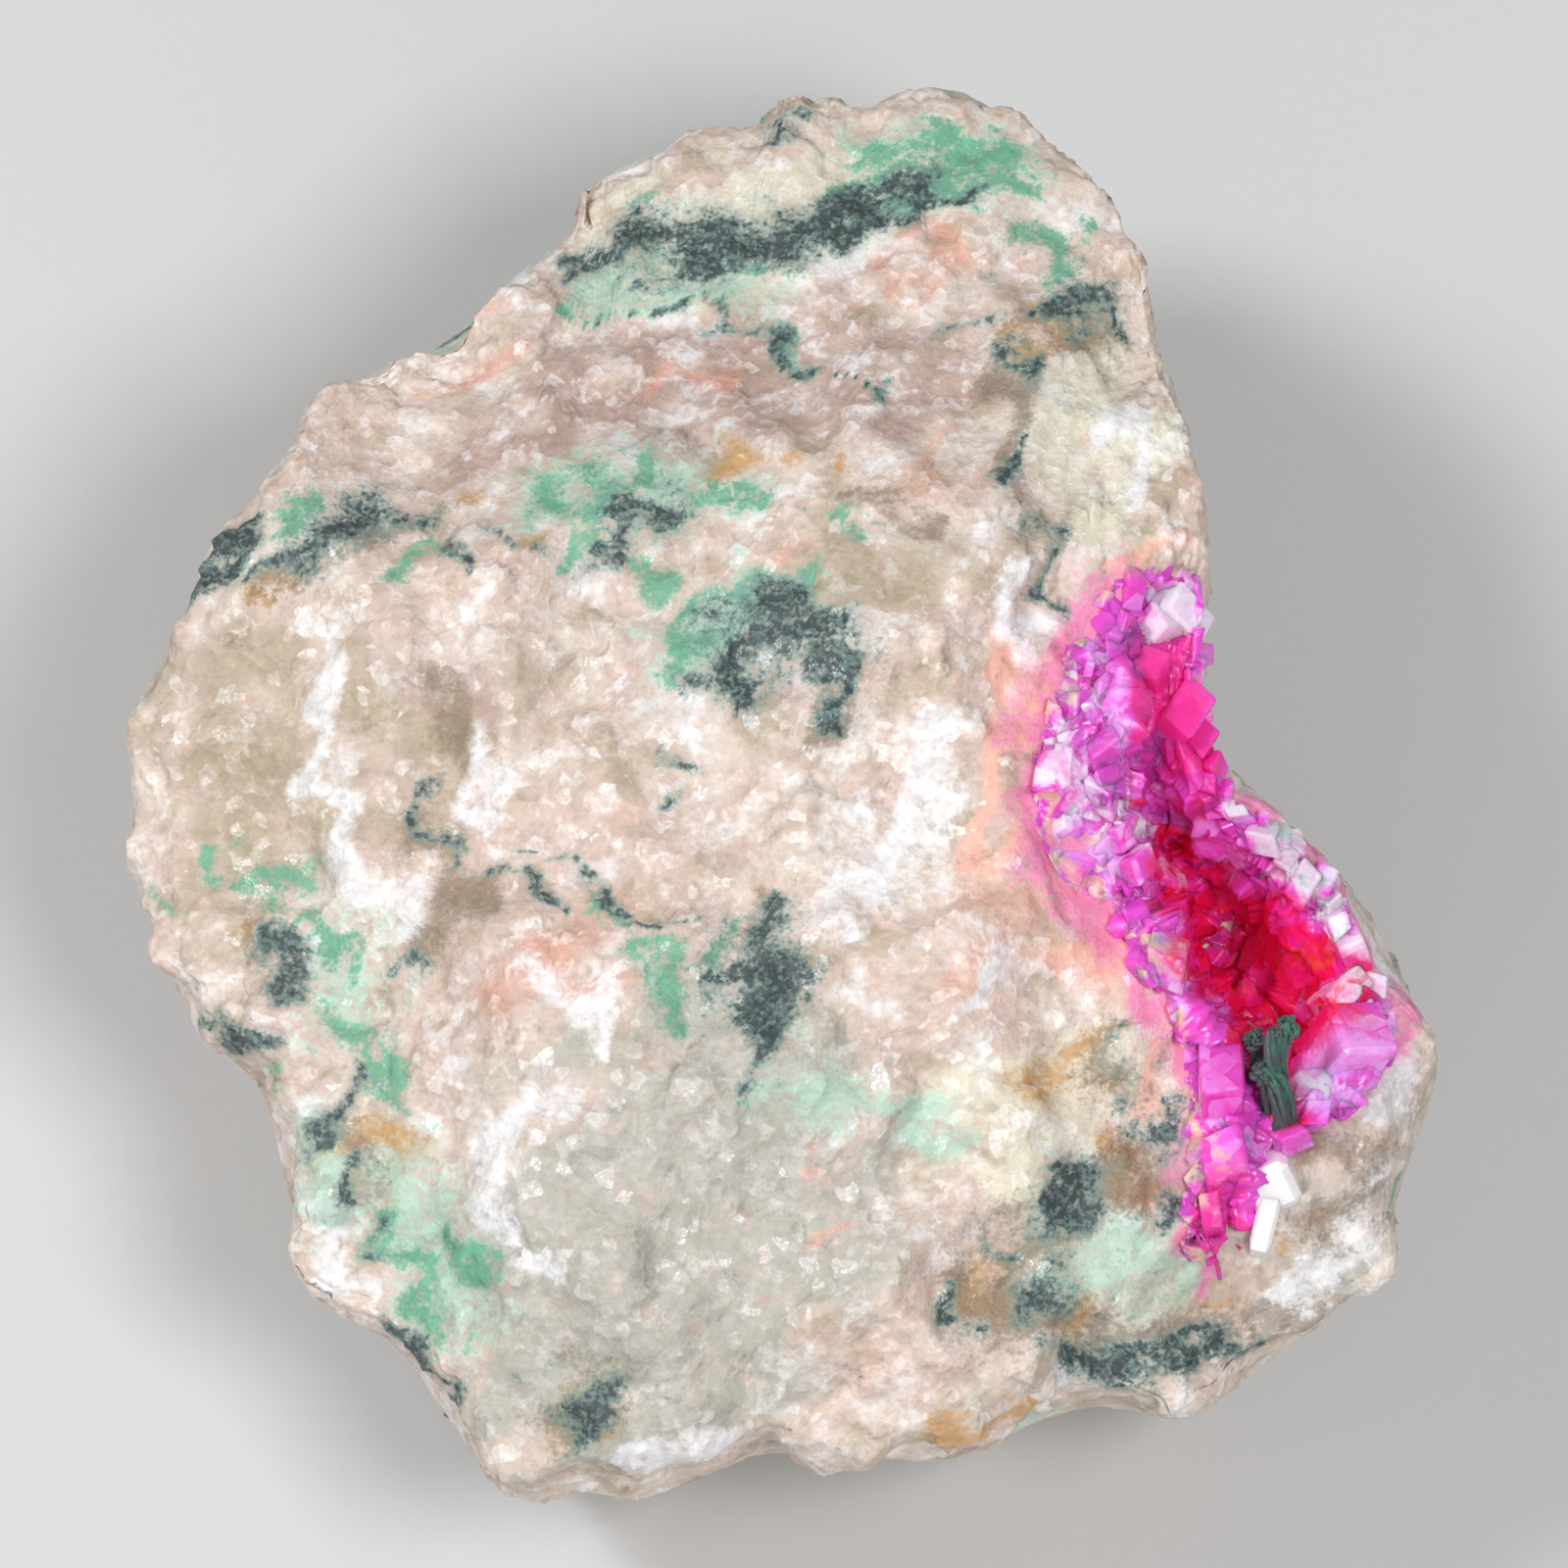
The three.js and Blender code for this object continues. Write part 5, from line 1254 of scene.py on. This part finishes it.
class Finish:
    """A material being made: its one shader, and the nodes that feed it."""

    def __init__(self, name, constants):
        self.material = bpy.data.materials.new(name)
        self.material.use_nodes = True
        self.nodes = self.material.node_tree.nodes
        self.links = self.material.node_tree.links
        self.shader = self.nodes["Principled BSDF"]
        for socket, value in constants.items():
            self.shader.inputs[socket].default_value = value
        object_place = self.node("ShaderNodeTexCoord").outputs["Object"]
        settings, values = {"operation": "SCALE"}, {0: object_place, "Scale": 1 / MM}
        self.place = self.node("ShaderNodeVectorMath", settings, values).outputs[0]

    def node(self, kind, settings=None, values=None):
        """Adds a node of a kind: its settings first, then its sockets' values or links."""
        made = self.nodes.new(kind)
        for name, setting in (settings or {}).items():
            setattr(made, name, setting)
        for socket, value in (values or {}).items():
            self.feed(made.inputs[socket], value)
        return made

    def feed(self, socket, value):
        """Links a socket to what feeds it, or sets its own value."""
        source = value.socket if isinstance(value, Signal) else value
        if isinstance(source, bpy.types.NodeSocket):
            self.links.new(source, socket)
        else:
            socket.default_value = source

    def attribute(self, name):
        """The piece's own attribute, one number for each of its points."""
        made = self.node("ShaderNodeAttribute", {"attribute_name": name})
        return Signal(self, made.outputs["Fac"])

    def noise(self, per_mm, detail=2.0, warp=0.0, roughness=0.5):
        """Clouds of noise round a half, so many to the millimetre."""
        values = {"Vector": self.place, "Scale": per_mm, "Detail": detail, "Roughness": roughness}
        values["Distortion"] = warp
        return Signal(self, self.node("ShaderNodeTexNoise", None, values).outputs["Fac"])

    def grains(self, per_mm):
        """Cells of space: the distance from each one's heart, and a number of its own for each."""
        made = self.node("ShaderNodeTexVoronoi", None, {"Vector": self.place, "Scale": per_mm})
        shade = self.node("ShaderNodeSeparateColor", None, {0: made.outputs["Color"]})
        return Signal(self, made.outputs["Distance"]), Signal(self, shade.outputs[0])

    def mixed(self, first, second, share):
        """One colour passing into another."""
        values = {0: share, 6: as_colour(first), 7: as_colour(second)}
        return self.node("ShaderNodeMix", {"data_type": "RGBA"}, values).outputs[2]

    def shaded(self, colour, factor):
        """A colour made lighter or darker by a number."""
        grey = self.node("ShaderNodeCombineColor", None, {0: factor, 1: factor, 2: factor}).outputs[0]
        settings = {"data_type": "RGBA", "blend_type": "MULTIPLY"}
        return self.node("ShaderNodeMix", settings, {0: 1.0, 6: as_colour(colour), 7: grey}).outputs[2]

    def bumped(self, height, strength, distance, under=None):
        """A Bump node over a height in millimetres. Another bump may lie under it."""
        values = {"Height": height, "Strength": strength, "Distance": distance * MM}
        if under:
            values["Normal"] = under
        return self.node("ShaderNodeBump", None, values).outputs["Normal"]

    def done(self, **fed):
        """Feeds the shader's sockets, named in small letters, and gives the finished material."""
        for socket, value in fed.items():
            self.feed(self.shader.inputs[socket.replace("_", " ").title()], value)
        return self.material


def as_colour(value):
    """A colour property with its alpha, or a socket as it is."""
    return value if isinstance(value, bpy.types.NodeSocket) else (*value, 1.0)


def rock_finish(colours):
    """Broken sugary dolomite: mottled pinkish cream, with soft tints, stains and ore by attribute."""
    finish = Finish("Sugary dolomite", {
        "IOR": 1.6,
        "Subsurface Weight": 0.2,
        "Subsurface Radius": (1.0, 0.7, 0.5),
        "Subsurface Scale": 0.7 * MM,
    })
    large = finish.noise(0.2, 3.0, 0.3)
    patch = finish.noise(0.5, 4.0, 0.4, 0.6)
    middle = finish.noise(1.1, 3.0, 0.3, 0.55)
    fine = finish.noise(3.4, 3.0, 0.2, 0.6)
    heart, own = finish.grains(2.2)
    small_heart, small_own = finish.grains(6.5)
    dust = finish.noise(6.5, 3.0, 0.0, 0.75)
    warp = (middle - 0.5) * 2.0 + (fine - 0.5) * 1.8 + (own - 0.5) * 0.4
    dusty = warp + (dust - 0.5) * 2.6 + (fine - 0.5) * 1.8
    # Less frost where the tan and grey tints lie: partly clearer rock, partly the grey painted shade of the
    # plateau and the hollow.
    clear_and_shaded = finish.attribute("tan").over(finish.attribute("grey")).between(0.2, 0.8)

    colour = finish.mixed(colours.pinkish, colours.cream, (large * 0.5 + middle * 0.5).between(0.4, 0.6))
    colour = finish.mixed(colour, colours.tan, patch.between(0.5, 0.34) * 0.7)
    # Of these tints, mauve is partly painted shade on the upper slope behind the ridge.
    tints = (
        ("tan", colours.tan, 0.8), ("grey", colours.grey, 0.85), ("mauve", colours.mauve, 0.8),
        ("salmon", colours.salmon, 0.85), ("peach", colours.peach, 0.95), ("topcream", colours.straw, 0.85),
    )
    for name, tint, strength in tints:
        share = (finish.attribute(name) + warp * 0.2).between(0.1, 0.75) * strength
        colour = finish.mixed(colour, tint, share)
    colour = finish.mixed(colour, colours.salmon, middle.between(0.56, 0.75) * 0.4)
    frost = (patch * 0.6 + middle * 0.25 + fine * 0.15).between(0.5, 0.66) * (0.75 - 0.55 * clear_and_shaded)
    colour = finish.mixed(colour, colours.white, frost)
    grain = (own * 0.5 + fine * 0.5).between(0.6, 0.8) * (0.5 - 0.25 * clear_and_shaded)
    colour = finish.mixed(colour, colours.white, grain)
    colour = finish.mixed(colour, colours.white, (finish.attribute("white") + warp).between(-0.8, 0.8) * 0.85)
    haze = (small_own * 0.3 + dust * 0.5 + middle * 0.2).between(0.48, 0.68) * 0.6
    stains = (
        ("mint", colours.mint, -1.0, 1.0, 0.8),
        ("ochre", colours.ochre, -1.1, 0.9, 0.85),
        ("brown", colours.brown, -1.0, 0.9, 0.8),
        ("pink", colours.pink, -1.4, 0.9, 0.9),
        ("malachite", colours.malachite, -0.9, 0.8, 0.9),
        ("ore", colours.slate, -1.7, 0.4, 0.75),
        ("ore", finish.mixed(colours.ore, colours.slate, haze), -0.5, 0.7, 0.97),
    )
    for name, stain, low, high, strength in stains:
        share = (finish.attribute(name) + dusty).between(low, high) * strength
        colour = finish.mixed(colour, stain, share)
    colour = finish.shaded(colour, 0.8 + 0.14 * own + 0.1 * small_own + 0.35 * (fine - 0.5))
    rough = 0.6 - 0.3 * own.between(0.8, 0.95) + 0.2 * (fine - 0.5)
    bump = finish.bumped(heart + 0.6 * own, 0.4, 0.12)
    bump = finish.bumped(small_heart + 0.6 * small_own, 0.35, 0.05, bump)
    return finish.done(base_color=colour, roughness=rough, normal=bump)


def crust_finish(colours):
    """Glassy pink crystals: crimson deep down, magenta and violet above, with pale and amber places."""
    finish = Finish("Pink crystal", {
        "IOR": 1.62,
        "Subsurface Weight": 0.7,
        "Subsurface Radius": (1.0, 0.2, 0.45),
        "Subsurface Scale": 1.0 * MM,
    })
    middle = finish.noise(0.9, 4.0, 0.8, 0.6)
    fine = finish.noise(4.0, 4.0, 0.3, 0.65)
    heart, own = finish.grains(1.5)
    shade = finish.attribute("shade")
    warp = (middle - 0.5) * 1.4 + (fine - 0.5) * 0.7 + (shade - 0.5) * 0.3 + (own - 0.5) * 0.3

    def tinted(colour, name, tint, low, high, strength):
        """A colour passing into a tint where the attribute and the noise pass from low to high."""
        return finish.mixed(colour, tint, (finish.attribute(name) + warp).between(low, high) * strength)

    violet = (middle * 0.7 + own * 0.3).between(0.48, 0.68) * 0.6
    colour = finish.mixed(colours.magenta, colours.orchid, violet)
    colour = tinted(colour, "deep", colours.crimson, 0.1, 0.8, 1.0)
    colour = finish.mixed(colour, colours.raspberry, (finish.attribute("deep") * own).between(0.5, 0.8) * 0.8)
    places = (
        ("orchid", colours.orchid, 0.2, 1.0, 0.85),
        ("hot", colours.hot, 0.2, 0.8, 0.95),
        # purple: partly painted shade in the recess beside the knob
        ("purple", colours.purple, 0.3, 1.0, 0.85),
        ("ember", colours.amber, 0.4, 1.1, 0.8),
        ("pale", colours.blush, 0.3, 1.1, 0.85),
        ("edge", colours.peach, 0.3, 0.9, 0.9),
    )
    for place in places:
        colour = tinted(colour, *place)
    colour = finish.shaded(colour, 0.86 + 0.2 * shade + 0.15 * own + 0.5 * (fine - 0.5))
    rough = 0.24 + 0.25 * own.between(0.55, 0.95) + 0.2 * (fine - 0.5)
    bump = finish.bumped(own + heart * 0.5, 0.35, 0.12)
    bump = finish.bumped(fine, 0.3, 0.08, bump)
    return finish.done(base_color=colour, roughness=rough, normal=bump)


def tuft_finish(colours):
    """Silky dark fibres: nearly black, with green where they catch the light."""
    finish = Finish("Fibrous malachite", {"IOR": 1.7, "Sheen Weight": 0.15})
    fine = finish.noise(7.0, 3.0, 0.4, 0.7)
    middle = finish.noise(1.6, 2.0)
    colour = finish.mixed(colours.ore, colours.tuft, (middle * 0.5 + fine * 0.5).between(0.46, 0.66))
    rough = 0.45 + 0.3 * (fine - 0.5)
    return finish.done(base_color=colour, roughness=rough, normal=finish.bumped(fine, 0.6, 0.08))


def white_finish(colours):
    """Milky white crystal with faint inner clouds and fine steps on its faces."""
    finish = Finish("Milky crystal", {
        "IOR": 1.55,
        "Subsurface Weight": 0.5,
        "Subsurface Radius": (1.0, 0.9, 1.0),
        "Subsurface Scale": 0.5 * MM,
    })
    cloud = finish.noise(1.4, 3.0, 0.6)
    fine = finish.noise(8.0, 3.0, 0.0, 0.6)
    colour = finish.mixed(colours.white, colours.blush, cloud.between(0.5, 0.75) * 0.25)
    rough = 0.18 + 0.2 * (fine - 0.4)
    return finish.done(base_color=colour, roughness=rough, normal=finish.bumped(fine, 0.25, 0.04))


def floor_finish(colours):
    """Plain pale paper with a faint grain."""
    finish = Finish("Pale paper", {"Specular IOR Level": 0.2})
    grain = finish.noise(3.0, 3.0)
    colour = finish.shaded(colours.floor, 0.985 + 0.03 * grain)
    return finish.done(base_color=colour, roughness=0.7 + 0.1 * grain)


# The add-on


def colour_property(name, description, red, green, blue):
    """A colour that a user may change, with its default."""
    return bpy.props.FloatVectorProperty(
        name=name, description=description, subtype="COLOR", size=3, min=0, max=1, default=(red, green, blue)
    )


class SpecimenColours(bpy.types.PropertyGroup):
    """Colours of the rock, the stains, the crystals and the floor"""

    cream: colour_property("Cream", "The rock's palest ground", 0.82, 0.71, 0.62)
    pinkish: colour_property("Pinkish", "The rock's pinker ground", 0.74, 0.58, 0.50)
    tan: colour_property("Tan", "Beige windows of clearer rock", 0.50, 0.41, 0.29)
    # Mauve also serves as painted shade on the upper slope behind the ridge.
    mauve: colour_property("Mauve", "Brownish bands and streaks", 0.52, 0.35, 0.30)
    salmon: colour_property("Salmon", "Warm pink patches", 0.78, 0.42, 0.32)
    peach: colour_property("Peach", "Orange halo beside the pocket", 0.98, 0.54, 0.43)
    straw: colour_property("Straw", "Yellowish cream at the top and the right", 0.86, 0.82, 0.66)
    white: colour_property("White", "White grains and ledges", 0.98, 0.97, 0.99)
    mint: colour_property("Mint", "Pale green tint round the stains", 0.48, 0.74, 0.60)
    malachite: colour_property("Malachite", "Green stains", 0.13, 0.44, 0.28)
    ore: colour_property("Ore", "Dark ore and the tuft's shadows", 0.045, 0.065, 0.07)
    brown: colour_property("Brown", "Brown stains round the ore", 0.30, 0.22, 0.15)
    # Grey is also painted shade over the plateau and the grey hollow.
    grey: colour_property("Grey", "Greyish windows of clearer rock", 0.53, 0.52, 0.46)
    slate: colour_property("Slate", "Grey-green haze round the ore", 0.22, 0.36, 0.33)
    ochre: colour_property("Ochre", "Rusty stains", 0.62, 0.34, 0.10)
    pink: colour_property("Pink", "Pink rock along the pocket's lip", 0.90, 0.25, 0.50)
    magenta: colour_property("Magenta", "Crystals of the upper band", 0.98, 0.08, 0.62)
    orchid: colour_property("Orchid", "Bright violet-pink crystals", 1.0, 0.42, 1.0)
    hot: colour_property("Hot pink", "Redder crystals under the knob", 1.0, 0.03, 0.34)
    crimson: colour_property("Crimson", "Crystals deep in the pocket", 1.0, 0.008, 0.10)
    raspberry: colour_property("Raspberry", "Bluer crystals deep in the pocket", 1.0, 0.02, 0.38)
    # Purple is painted shade in the recess beside the knob, and elsewhere the darker violet of some crystals.
    purple: colour_property("Purple", "Dark recesses", 0.30, 0.03, 0.28)
    amber: colour_property("Ember", "Orange-red crystals", 0.88, 0.10, 0.03)
    blush: colour_property("Blush", "The palest pink crystals", 0.97, 0.78, 0.93)
    tuft: colour_property("Tuft green", "The fibres' green", 0.02, 0.17, 0.11)
    floor: colour_property("Floor", "The floor under the specimen", 0.66, 0.66, 0.66)


class SpecimenSizes(bpy.types.PropertyGroup):
    """How fine the pieces are, and how strong the lights"""

    stone_grid: bpy.props.IntProperty(
        name="Stone grid", description="Columns across the stone", default=220, min=40, max=222
    )
    crystals: bpy.props.IntProperty(
        name="Crystals", description="Small crystals in the pocket", default=620, min=0
    )
    fibres: bpy.props.IntProperty(
        name="Fibres", description="Fibres in each strand of the tuft", default=22, min=1
    )
    seed: bpy.props.IntProperty(name="Seed", description="Start of the random numbers", default=7)
    key_light: bpy.props.FloatProperty(
        name="Key light",
        description="Power that the three lights share out",
        default=1.28,
        min=0,
        subtype="POWER",
        unit="POWER",
    )
    room_light: bpy.props.FloatProperty(
        name="Room light", description="Strength of the even light", default=0.25, min=0
    )


class BuildHostRock(bpy.types.Operator):
    """Build the broken lump of dolomite with its stains, veins and ore"""

    bl_idname = "specimen.host_rock"
    bl_label = "Host rock"

    def execute(self, context):
        sizes, colours = context.scene.specimen_sizes, context.scene.specimen_colours
        random = np.random.default_rng(sizes.seed)
        points, faces = rock_form(sizes.stone_grid)
        flat, drop = laid_out(points)
        behind = smooth(drop, *BEHIND_DROPS)
        fields = {}
        for name, (veins, hidden, widths) in MARKS.items():
            shown = vein_field(wandering(flat, MARK_WANDER), veins.values())
            unseen = vein_field(wandering(points, MARK_WANDER), hidden_chains(random, hidden, widths))
            fields[name] = np.maximum(shown - FAR_OUTSIDE * behind, unseen - FAR_OUTSIDE * (1 - behind))
        for name, ovals in TINTS.items():
            fields[name] = bells(ovals, *wandering(flat, TINT_WANDER).T) * (1 - behind)
        finish = rock_finish(colours)
        make_piece("host_rock_dressed", points, faces, finish, "host_rock", "dolomite_rock", **fields)
        return {"FINISHED"}


class BuildCrust(bpy.types.Operator):
    """Build the crust of pink crystals that lines the pocket"""

    bl_idname = "specimen.crust"
    bl_label = "Pink crystal crust"

    def execute(self, context):
        sizes, colours = context.scene.specimen_sizes, context.scene.specimen_colours
        random = np.random.default_rng(sizes.seed + 1)
        finish = crust_finish(colours)
        slab_points, slab_faces = crust_form()
        points, faces, shade, pale = crystal_form(random, sizes.crystals)
        node = "pink_crystal_crust"
        plain = np.full(len(slab_points), 0.5)
        forms = (
            ("pink_crust", slab_points, slab_faces, plain, 0 * plain),
            ("pink_crystals", points, faces, shade, pale),
        )
        for name, form, parts, own, paleness in forms:
            places = wandering(form[:, :2], POCKET_WANDER)
            across, up = places.T
            fields = {tint: bells(ovals, across, up) for tint, ovals in POCKET_PLACES.items()}
            fields["pale"] = fields["pale"] + paleness
            fields["deep"] = smooth(vein_field(places, DEEP_CHAINS), -0.2, 0.5)
            fields["edge"] = smooth(vein_field(places, [LIP_VEIN]), 0, 1)
            fields["shade"] = own
            flat = name == "pink_crystals"
            make_piece(name, form, parts, finish, node, "pink_crystal", flat, **fields)
        return {"FINISHED"}


class BuildTuft(bpy.types.Operator):
    """Build the dark green tuft of fibres in the pocket"""

    bl_idname = "specimen.tuft"
    bl_label = "Malachite tuft"

    def execute(self, context):
        sizes, colours = context.scene.specimen_sizes, context.scene.specimen_colours
        points, faces = tuft_form(np.random.default_rng(sizes.seed + 2), sizes.fibres)
        make_piece("malachite_fibres", points, faces, tuft_finish(colours), "malachite_tuft", "malachite")
        return {"FINISHED"}


class BuildWhiteCrystals(bpy.types.Operator):
    """Build the white crystals below the tuft"""

    bl_idname = "specimen.white_crystals"
    bl_label = "White crystals"

    def execute(self, context):
        colours = context.scene.specimen_colours
        points, faces = block_form()
        finish = white_finish(colours)
        make_piece("white_blocks", points, faces, finish, "white_crystals", "white_crystal", flat=True)
        return {"FINISHED"}


class BuildStage(bpy.types.Operator):
    """Set up the floor, the soft lights and the camera"""

    bl_idname = "specimen.stage"
    bl_label = "Stage"

    def execute(self, context):
        scene = context.scene
        sizes, colours = scene.specimen_sizes, scene.specimen_colours
        corners = [(-1, -1, 0), (1, -1, 0), (1, 1, 0), (-1, 1, 0)]
        mesh = bpy.data.meshes.new("floor")
        mesh.from_pydata(np.array(corners) * FLOOR_HALF_WIDTH - (0, 0, FLOOR_GAP), [], [(0, 1, 2, 3)])
        mesh.materials.append(floor_finish(colours))
        floor = bpy.data.objects.new("floor", mesh)
        scene.collection.objects.link(floor)

        target = Vector(in_frame((0, 0, 0)))
        for name, (place, width, power) in LIGHTS.items():
            light = bpy.data.lights.new(name, "AREA")
            light.size = width
            light.energy = sizes.key_light * power
            lamp = bpy.data.objects.new(name, light)
            lamp.location = target + Vector(place)
            lamp.rotation_euler = (target - lamp.location).to_track_quat("-Z", "Y").to_euler()
            scene.collection.objects.link(lamp)

        world = bpy.data.worlds.new("Even light")
        world.use_nodes = True
        background = world.node_tree.nodes["Background"]
        background.inputs["Color"].default_value = (1, 1, 1, 1)
        background.inputs["Strength"].default_value = sizes.room_light
        scene.world = world

        data = bpy.data.cameras.new("camera")
        data.sensor_width = 36
        data.lens = data.sensor_width * VIEW_DISTANCE / VIEW_WIDTH
        camera = bpy.data.objects.new("camera", data)
        backward = Vector((0, -math.sin(FACE_TILT), math.cos(FACE_TILT)))
        camera.location = target + VIEW_DISTANCE * backward
        camera.rotation_euler = (-backward).to_track_quat("-Z", "Y").to_euler()
        scene.collection.objects.link(camera)
        scene.camera = camera
        scene.view_settings.view_transform = "Standard"
        return {"FINISHED"}


class SpecimenPanel(bpy.types.Panel):
    """The specimen's pieces, sizes and colours"""

    bl_idname = "SPECIMEN_PT_pieces"
    bl_label = "Dolomite specimen"
    bl_space_type = "VIEW_3D"
    bl_region_type = "UI"
    bl_category = "Specimen"

    def draw(self, context):
        for operator in OPERATORS:
            self.layout.operator(operator.bl_idname)
        for group in (context.scene.specimen_sizes, context.scene.specimen_colours):
            box = self.layout.box()
            for name in group.bl_rna.properties.keys():
                if name not in ("rna_type", "name"):
                    box.prop(group, name)


OPERATORS = (BuildHostRock, BuildCrust, BuildTuft, BuildWhiteCrystals, BuildStage)
CLASSES = (SpecimenColours, SpecimenSizes, *OPERATORS, SpecimenPanel)


def register():
    """Makes the classes known to Blender, and gives each scene its sizes and colours."""
    for made in CLASSES:
        bpy.utils.register_class(made)
    bpy.types.Scene.specimen_sizes = bpy.props.PointerProperty(type=SpecimenSizes)
    bpy.types.Scene.specimen_colours = bpy.props.PointerProperty(type=SpecimenColours)


def unregister():
    """Takes back what register() made known."""
    del bpy.types.Scene.specimen_colours
    del bpy.types.Scene.specimen_sizes
    for made in reversed(CLASSES):
        bpy.utils.unregister_class(made)


def main():
    """Builds every piece and the stage."""
    register()
    bpy.ops.specimen.host_rock()
    bpy.ops.specimen.crust()
    bpy.ops.specimen.tuft()
    bpy.ops.specimen.white_crystals()
    bpy.ops.specimen.stage()


if __name__ == "__main__":
    main()
